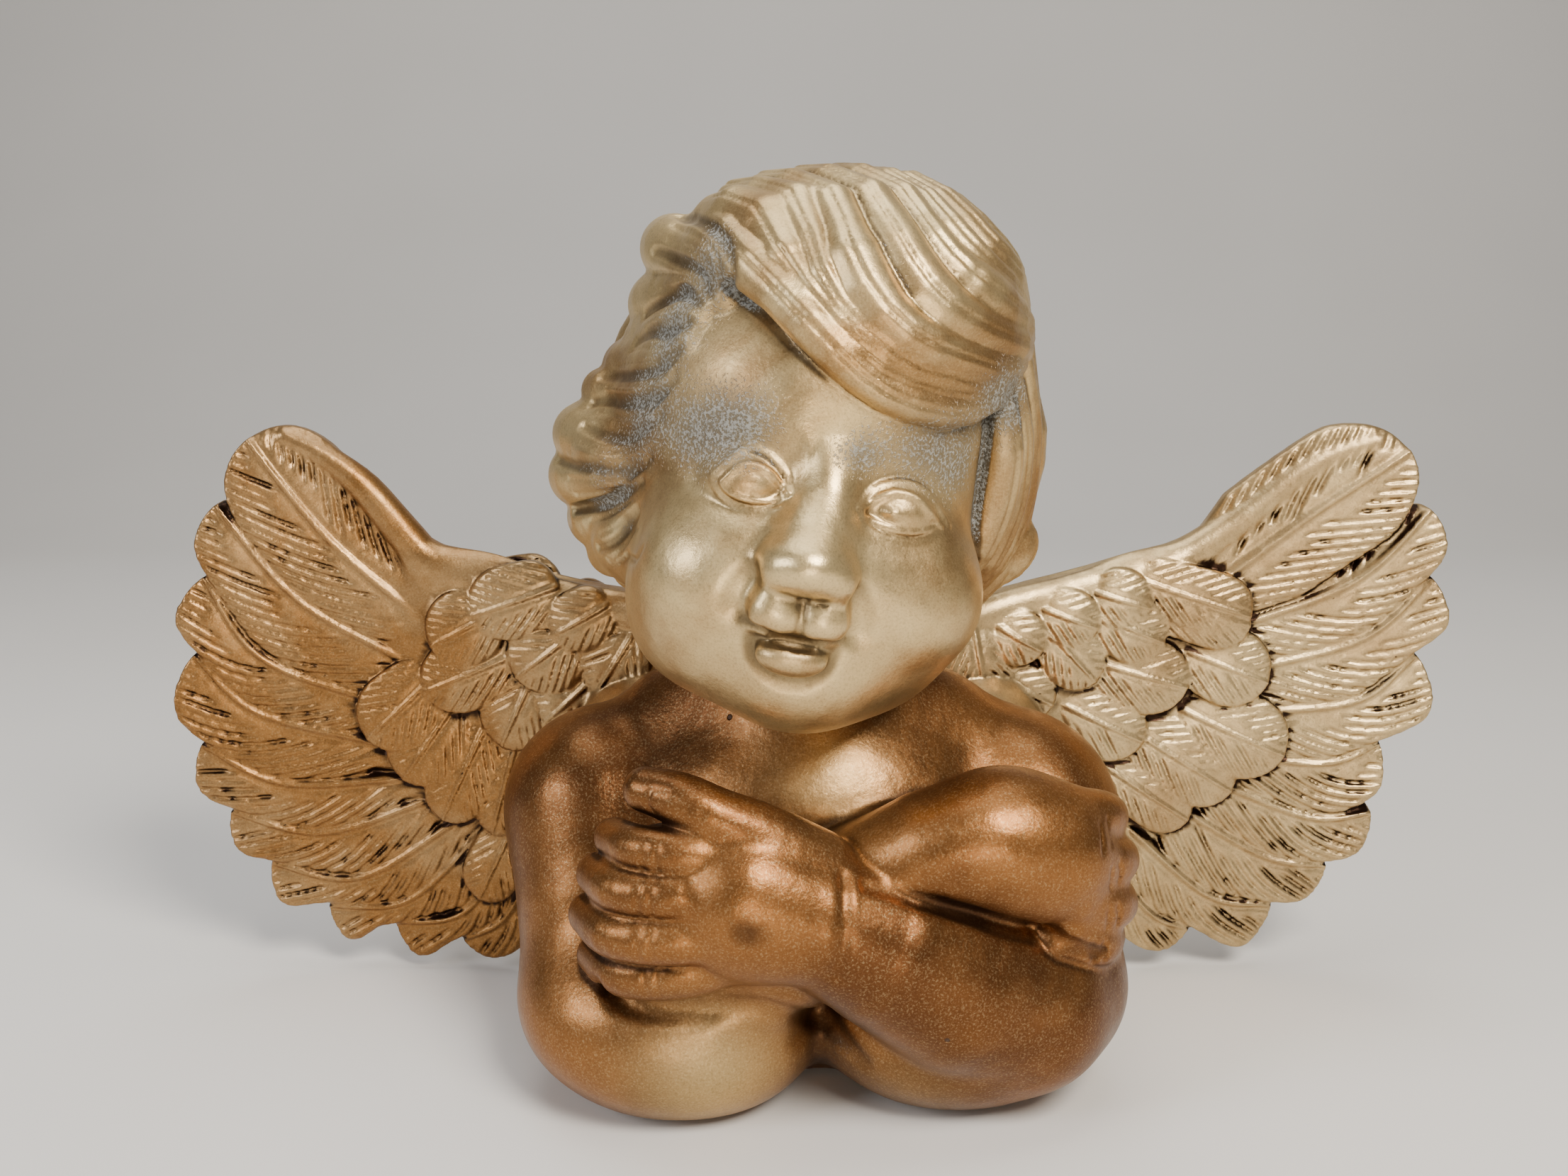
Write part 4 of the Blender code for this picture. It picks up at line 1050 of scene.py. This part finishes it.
# %% The gold paint recipe
def gold_paint(name, bright, deep, hollow_colour, hollow_amount, dust_amount, spots, lean=None):
    """Satin metallic paint. lean is a pair of X positions between which a painted warm reflection, a copper
    tone, fades out.
    """
    material, tree, paint = new_material(name)
    put = partial(add, tree)
    place = put("ShaderNodeTexCoord", out=3)
    hollow = put("ShaderNodeAttribute", out=2, attribute_name="hollow")
    # Broad clouds: the spray is never even, so the gold drifts towards copper in patches.
    clouds = put(NOISE, Vector=place, Scale=1 / 0.045, Detail=4.0, Roughness=0.6, Distortion=0.4)
    clouds = put(MAP, clouds, 0.38, 0.66, **SMOOTH)
    # Painted reflection: towards one side the gold darkens to copper, standing in for a warm reflection.
    if lean:
        copper = put(MAP, put("ShaderNodeSeparateXYZ", place), *lean, 0.75, 0.0, **SMOOTH)
        clouds = put("+", put("*", clouds, 0.5), copper, use_clamp=True)
    gold = put(MIX, {0: clouds, 6: colour(bright), 7: colour(deep)}, **COLOURS)
    # Painted highlights: the gold turns pale at the spots stored on the vertices, where the light shines
    # brightest.
    gold = put(
        MIX, {0: put("ShaderNodeAttribute", out=2, attribute_name="painted_highlight"), 6: gold, 7: colour("#E8CB8C")},
        **COLOURS,
    )
    # Flake: the metal powder in the paint gives a fine light and dark grain.
    flake = put(NOISE, Vector=place, Scale=1 / 0.00045, Detail=2.0, Roughness=0.7)
    gold = put(
        MIX, {0: put("*", put(MAP, flake, 0.5, 0.72, **SMOOTH), 0.16), 6: gold, 7: colour("#F4DCA6")},
        **COLOURS,
    )
    gold = put(
        MIX, {0: put("*", put(MAP, flake, 0.5, 0.3, **SMOOTH), 0.22), 6: gold, 7: colour(hollow_colour)},
        **COLOURS,
    )
    # Dirt in the hollows draws every line of the modelling.
    uneven = put("*", put(NOISE, Vector=place, Scale=1 / 0.003, Detail=3.0, Roughness=0.55), 0.12)
    grime = put(MAP, put("+", hollow, uneven), 0.26, 0.62, **SMOOTH)
    gold = put(MIX, {0: put("*", grime, hollow_amount), 6: gold, 7: colour(hollow_colour)}, **COLOURS)
    # Pinholes: trapped air left small pits, some with a dark ring.
    cells = put("ShaderNodeTexVoronoi", Vector=place, Scale=1 / 0.0085, Randomness=1.0)
    draw = put("ShaderNodeSeparateXYZ", cells.node.outputs["Color"])
    chosen = put("GREATER_THAN", draw, 1 - spots)
    pit = put("*", put(MAP, cells, 0.085, 0.045, **SMOOTH), chosen)
    gold = put(MIX, {0: put("*", pit, 0.8), 6: gold, 7: colour("#2A1A10")}, **COLOURS)
    # Dust: it greys the paint where nobody wipes, and pale specks lie on top. It gathers in dusty grooves.
    settled = put("ShaderNodeAttribute", out=2, attribute_name="dust")
    groove = put("*", put(MAP, hollow, 0.36, 0.75, **SMOOTH), put(MAP, settled, 0.04, 0.2, **SMOOTH))
    settled = put("+", settled, put("*", groove, dust_amount))
    settled = put(
        "+", settled, put("*", put(NOISE, Vector=place, Scale=1 / 0.006, Detail=3.0, Roughness=0.6), 0.25),
    )
    settled = put(MAP, settled, 0.22, 0.85, **SMOOTH)
    gold = put(MIX, {0: put("*", settled, 0.9), 6: gold, 7: colour("#554E40")}, **COLOURS)
    speck = put(NOISE, Vector=place, Scale=1 / 0.0006, Detail=2.0, Roughness=0.6)
    cover = put("+", speck, put("*", settled, 0.22))
    cover = put("*", put(MAP, cover, 0.6, 0.82, **SMOOTH), put(MAP, settled, 0.02, 0.3, **SMOOTH))
    gold = put(MIX, {0: put("*", cover, 0.55), 6: gold, 7: colour("#9C9F9C")}, **COLOURS)
    tree.links.new(gold, paint.inputs["Base Color"])
    # Dust and dirt are dull and not metal; bare paint is satin with a slightly patchy shine.
    dull = put("MAXIMUM", cover, put("*", settled, 0.55))
    dull = put("MAXIMUM", dull, put("*", pit, 0.8))
    tree.links.new(put(MAP, dull, 0.0, 1.0, 0.86, 0.05, **SMOOTH), paint.inputs["Metallic"])
    satin = put(
        MAP, put(NOISE, Vector=place, Scale=1 / 0.012, Detail=4.0, Roughness=0.65), 0.3, 0.7, 0.29, 0.41,
        **SMOOTH,
    )
    satin = put("+", satin, put("*", flake, 0.06))
    satin = put("+", satin, put("*", dull, 0.4), use_clamp=True)
    tree.links.new(satin, paint.inputs["Roughness"])
    # Relief: faint orange peel from the spray, coarser lumps in the casting, and the pits.
    fine = put("*", put(NOISE, Vector=place, Scale=1 / 0.0010, Detail=3.0, Roughness=0.65), 0.00007)
    peel = put(
        "+", fine, put("*", put(NOISE, Vector=place, Scale=1 / 0.007, Detail=2.0, Roughness=0.55), 0.00022),
    )
    peel = put("-", peel, put("*", pit, 0.0004))
    peel = put("+", peel, put("*", put("*", cover, speck), 0.00018))
    bump = put("ShaderNodeBump", Strength=1.0, Distance=1.0, Height=peel)
    tree.links.new(bump, paint.inputs["Normal"])
    return material


# Name, bright and deep tone, what lies in the hollows and how much, dust in grooves, share of pinholes.
head_paint = gold_paint(
    "satin champagne gold paint, dusty", "#D6BC88", "#9A7648", "#3A2818", 0.75, 0.5, 0.012,
)
bust_paint = gold_paint("satin copper gold paint", "#8A5C31", "#613C1E", "#28160B", 0.85, 0.0, 0.12)
WARM_REFLECTION_FADES = (-0.13, 0.07)  # painted warm reflection: copper from the left wing's tip to past the middle
wing_paint = gold_paint(
    "satin antique gold paint", "#EBCD96", "#A87842", "#2A180B", 1.0, 0.0, 0.02, WARM_REFLECTION_FADES,
)


# %% Steel, hardboard and felt
def pin_steel():
    """Drawn steel: grey, with fine lines along the pin and a slightly uneven polish."""
    material, tree, steel = new_material("drawn steel pin")
    put = partial(add, tree)
    drawn_out = put("ShaderNodeMapping", Vector=put("ShaderNodeTexCoord", out=3), Scale=(1.0, 0.04, 1.0))
    lines = put(NOISE, Vector=drawn_out, Scale=4000.0, Detail=2.0)
    tree.links.new(
        put(MIX, {0: lines, 6: colour("#8D8F92"), 7: colour("#C9CACC")}, **COLOURS),
        steel.inputs["Base Color"],
    )
    tree.links.new(put(MAP, lines, 0.3, 0.7, 0.22, 0.4, **SMOOTH), steel.inputs["Roughness"])
    steel.inputs["Metallic"].default_value = 1.0
    return material


def hardboard():
    """Pressed wood fibre: matt brown with pale and dark flecks and a slightly felted surface."""
    material, tree, board = new_material("brown hardboard")
    put = partial(add, tree)
    place = put("ShaderNodeTexCoord", out=3)
    fibre = put(NOISE, Vector=place, Scale=1 / 0.0016, Detail=6.0, Roughness=0.7, Distortion=1.6)
    tone = put(
        MIX, {0: put(MAP, fibre, 0.35, 0.65, **SMOOTH), 6: colour("#4A2F1C"), 7: colour("#7A5533")},
        **COLOURS,
    )
    stain = put(NOISE, Vector=place, Scale=1 / 0.02, Detail=3.0, Roughness=0.55)
    stain = put("*", put(MAP, stain, 0.4, 0.7, **SMOOTH), 0.4)
    tree.links.new(
        put(MIX, {0: stain, 6: tone, 7: colour("#35210F")}, **COLOURS), board.inputs["Base Color"],
    )
    board.inputs["Roughness"].default_value = 0.88
    felted = put("ShaderNodeBump", Strength=0.7, Distance=0.0002, Height=fibre)
    tree.links.new(felted, board.inputs["Normal"])
    return material


def wool_felt():
    """Pressed wool: soft dark green, mottled by fibres of several shades, with a sheen at the rim."""
    material, tree, wool = new_material("pressed green wool felt")
    put = partial(add, tree)
    place = put("ShaderNodeTexCoord", out=3)
    mottle = put(NOISE, Vector=place, Scale=1 / 0.0007, Detail=4.0, Roughness=0.7, Distortion=0.8)
    greens = put(
        MIX, {0: put(MAP, mottle, 0.35, 0.65, **SMOOTH), 6: colour("#1F3A26"), 7: colour("#4A6B4C")},
        **COLOURS,
    )
    tree.links.new(greens, wool.inputs["Base Color"])
    wool.inputs["Roughness"].default_value = 0.95
    wool.inputs["Sheen Weight"].default_value = 0.6
    wool.inputs["Sheen Tint"].default_value = colour("#B8CDB8")
    fuzz = put("ShaderNodeBump", Strength=0.6, Distance=0.0003, Height=mottle)
    tree.links.new(fuzz, wool.inputs["Normal"])
    return material


# %% [markdown]
# ## Putting it together
# Every piece rides on the one body, takes the place of its CAD node, which is hidden, and gets its finish.
# The pins and the base board already have the right shape, so they keep their CAD meshes and only get a
# finish.

# %% Finish the castings
CASTINGS = (
    (bust_skin, "bust_shell", bust_paint), (head_skin, "head_shell", head_paint),
    (wing_skins["left"], "wing_left", wing_paint), (wing_skins["right"], "wing_right", wing_paint),
)
for piece, node, paint in CASTINGS:
    piece.data.materials.clear()
    piece.data.materials.append(paint)
    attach(piece, "root")
    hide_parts(node)
    print(f"{piece.name}: {sum(len(p.vertices) - 2 for p in piece.data.polygons)} triangles")

# %% Finish the small parts
felt = wool_felt()
for seed, node in enumerate(sorted(n for n in nodes if n.startswith("felt_pad"))):
    pad = felt_pad(node, seed, felt)
    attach(pad, "root")
    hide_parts(node)
steel, board = pin_steel(), hardboard()
for node, obj in nodes.items():
    if node.startswith("wing_pin") or node == "base_board":
        obj.material_slots[0].material = board if node == "base_board" else steel
print("small parts finished:", sum(n.startswith(("felt", "wing_pin", "base")) for n in nodes))

# %% [markdown]
# ## Floor, light and camera
# The floor sweeps up behind into a plain backdrop. A large soft light above and to the right shapes the
# forms. A weaker one on the left keeps the shadows open, and a low one in front lights the underside of
# the chin, as a pale table would.

# %% Floor
profile = [(-1.6, 0.0), (0.55, 0.0)]
for a in np.linspace(0.1, math.pi / 2, 14):
    profile.append((0.55 + 0.45 * math.sin(a), 0.45 * (1 - math.cos(a))))
profile.append((1.0, 2.2))
points = [(x, y, z) for y, z in profile for x in (-2.2, 2.2)]
faces = [(2 * k, 2 * k + 1, 2 * k + 3, 2 * k + 2) for k in range(len(profile) - 1)]
floor = mesh_of("floor", np.array(points), np.array(faces))
floor.data.shade_smooth()
paper, tree, sheet = new_material("pale backdrop paper")
put = partial(add, tree)
place = put("ShaderNodeTexCoord", out=3)
patches = put(NOISE, Vector=place, Scale=1 / 0.5, Detail=3.0, Roughness=0.55)
greys = put(
    MIX, {0: put(MAP, patches, 0.3, 0.7, **SMOOTH), 6: colour("#D6D3CE"), 7: colour("#DEDBD6")}, **COLOURS,
)
tree.links.new(greys, sheet.inputs["Base Color"])
sheet.inputs["Roughness"].default_value = 0.9
floor.data.materials.append(paper)


# %% Lights and camera
def soft_light(name, place, size, watts, tint):
    light = bpy.data.lights.new(name, "AREA")
    light.size, light.energy, light.color = size, watts, colour(tint)[:3]
    lamp = bpy.data.objects.new(name, light)
    lamp.location = place
    lamp.rotation_euler = (Vector((0, 0, 0.09)) - lamp.location).to_track_quat("-Z", "Y").to_euler()
    bpy.context.scene.collection.objects.link(lamp)


soft_light("key", (0.30, -0.52, 0.68), 0.30, 10.0, "#FFF8EE")
soft_light("side", (-0.62, -0.38, 0.40), 0.30, 3.0, "#F6F8FF")
soft_light("top", (-0.05, 0.10, 0.85), 0.6, 4.0, "#FFFFFF")
soft_light("low", (0.05, -0.60, 0.04), 0.25, 1.6, "#FFF2E0")
world = bpy.data.worlds.new("studio")
world.use_nodes = True
world.node_tree.nodes["Background"].inputs["Color"].default_value = colour("#C9CCD2")
world.node_tree.nodes["Background"].inputs["Strength"].default_value = 0.24
bpy.context.scene.world = world

lens = bpy.data.cameras.new("camera")
lens.lens, lens.sensor_width, lens.clip_start = 38, 36, 0.01
camera = bpy.data.objects.new("camera", lens)
camera.location = (-0.0065, -0.345 + SHIFT_Y, 0.1828)
camera.rotation_euler = (math.radians(77), 0, 0)
bpy.context.scene.collection.objects.link(camera)
bpy.context.scene.camera = camera
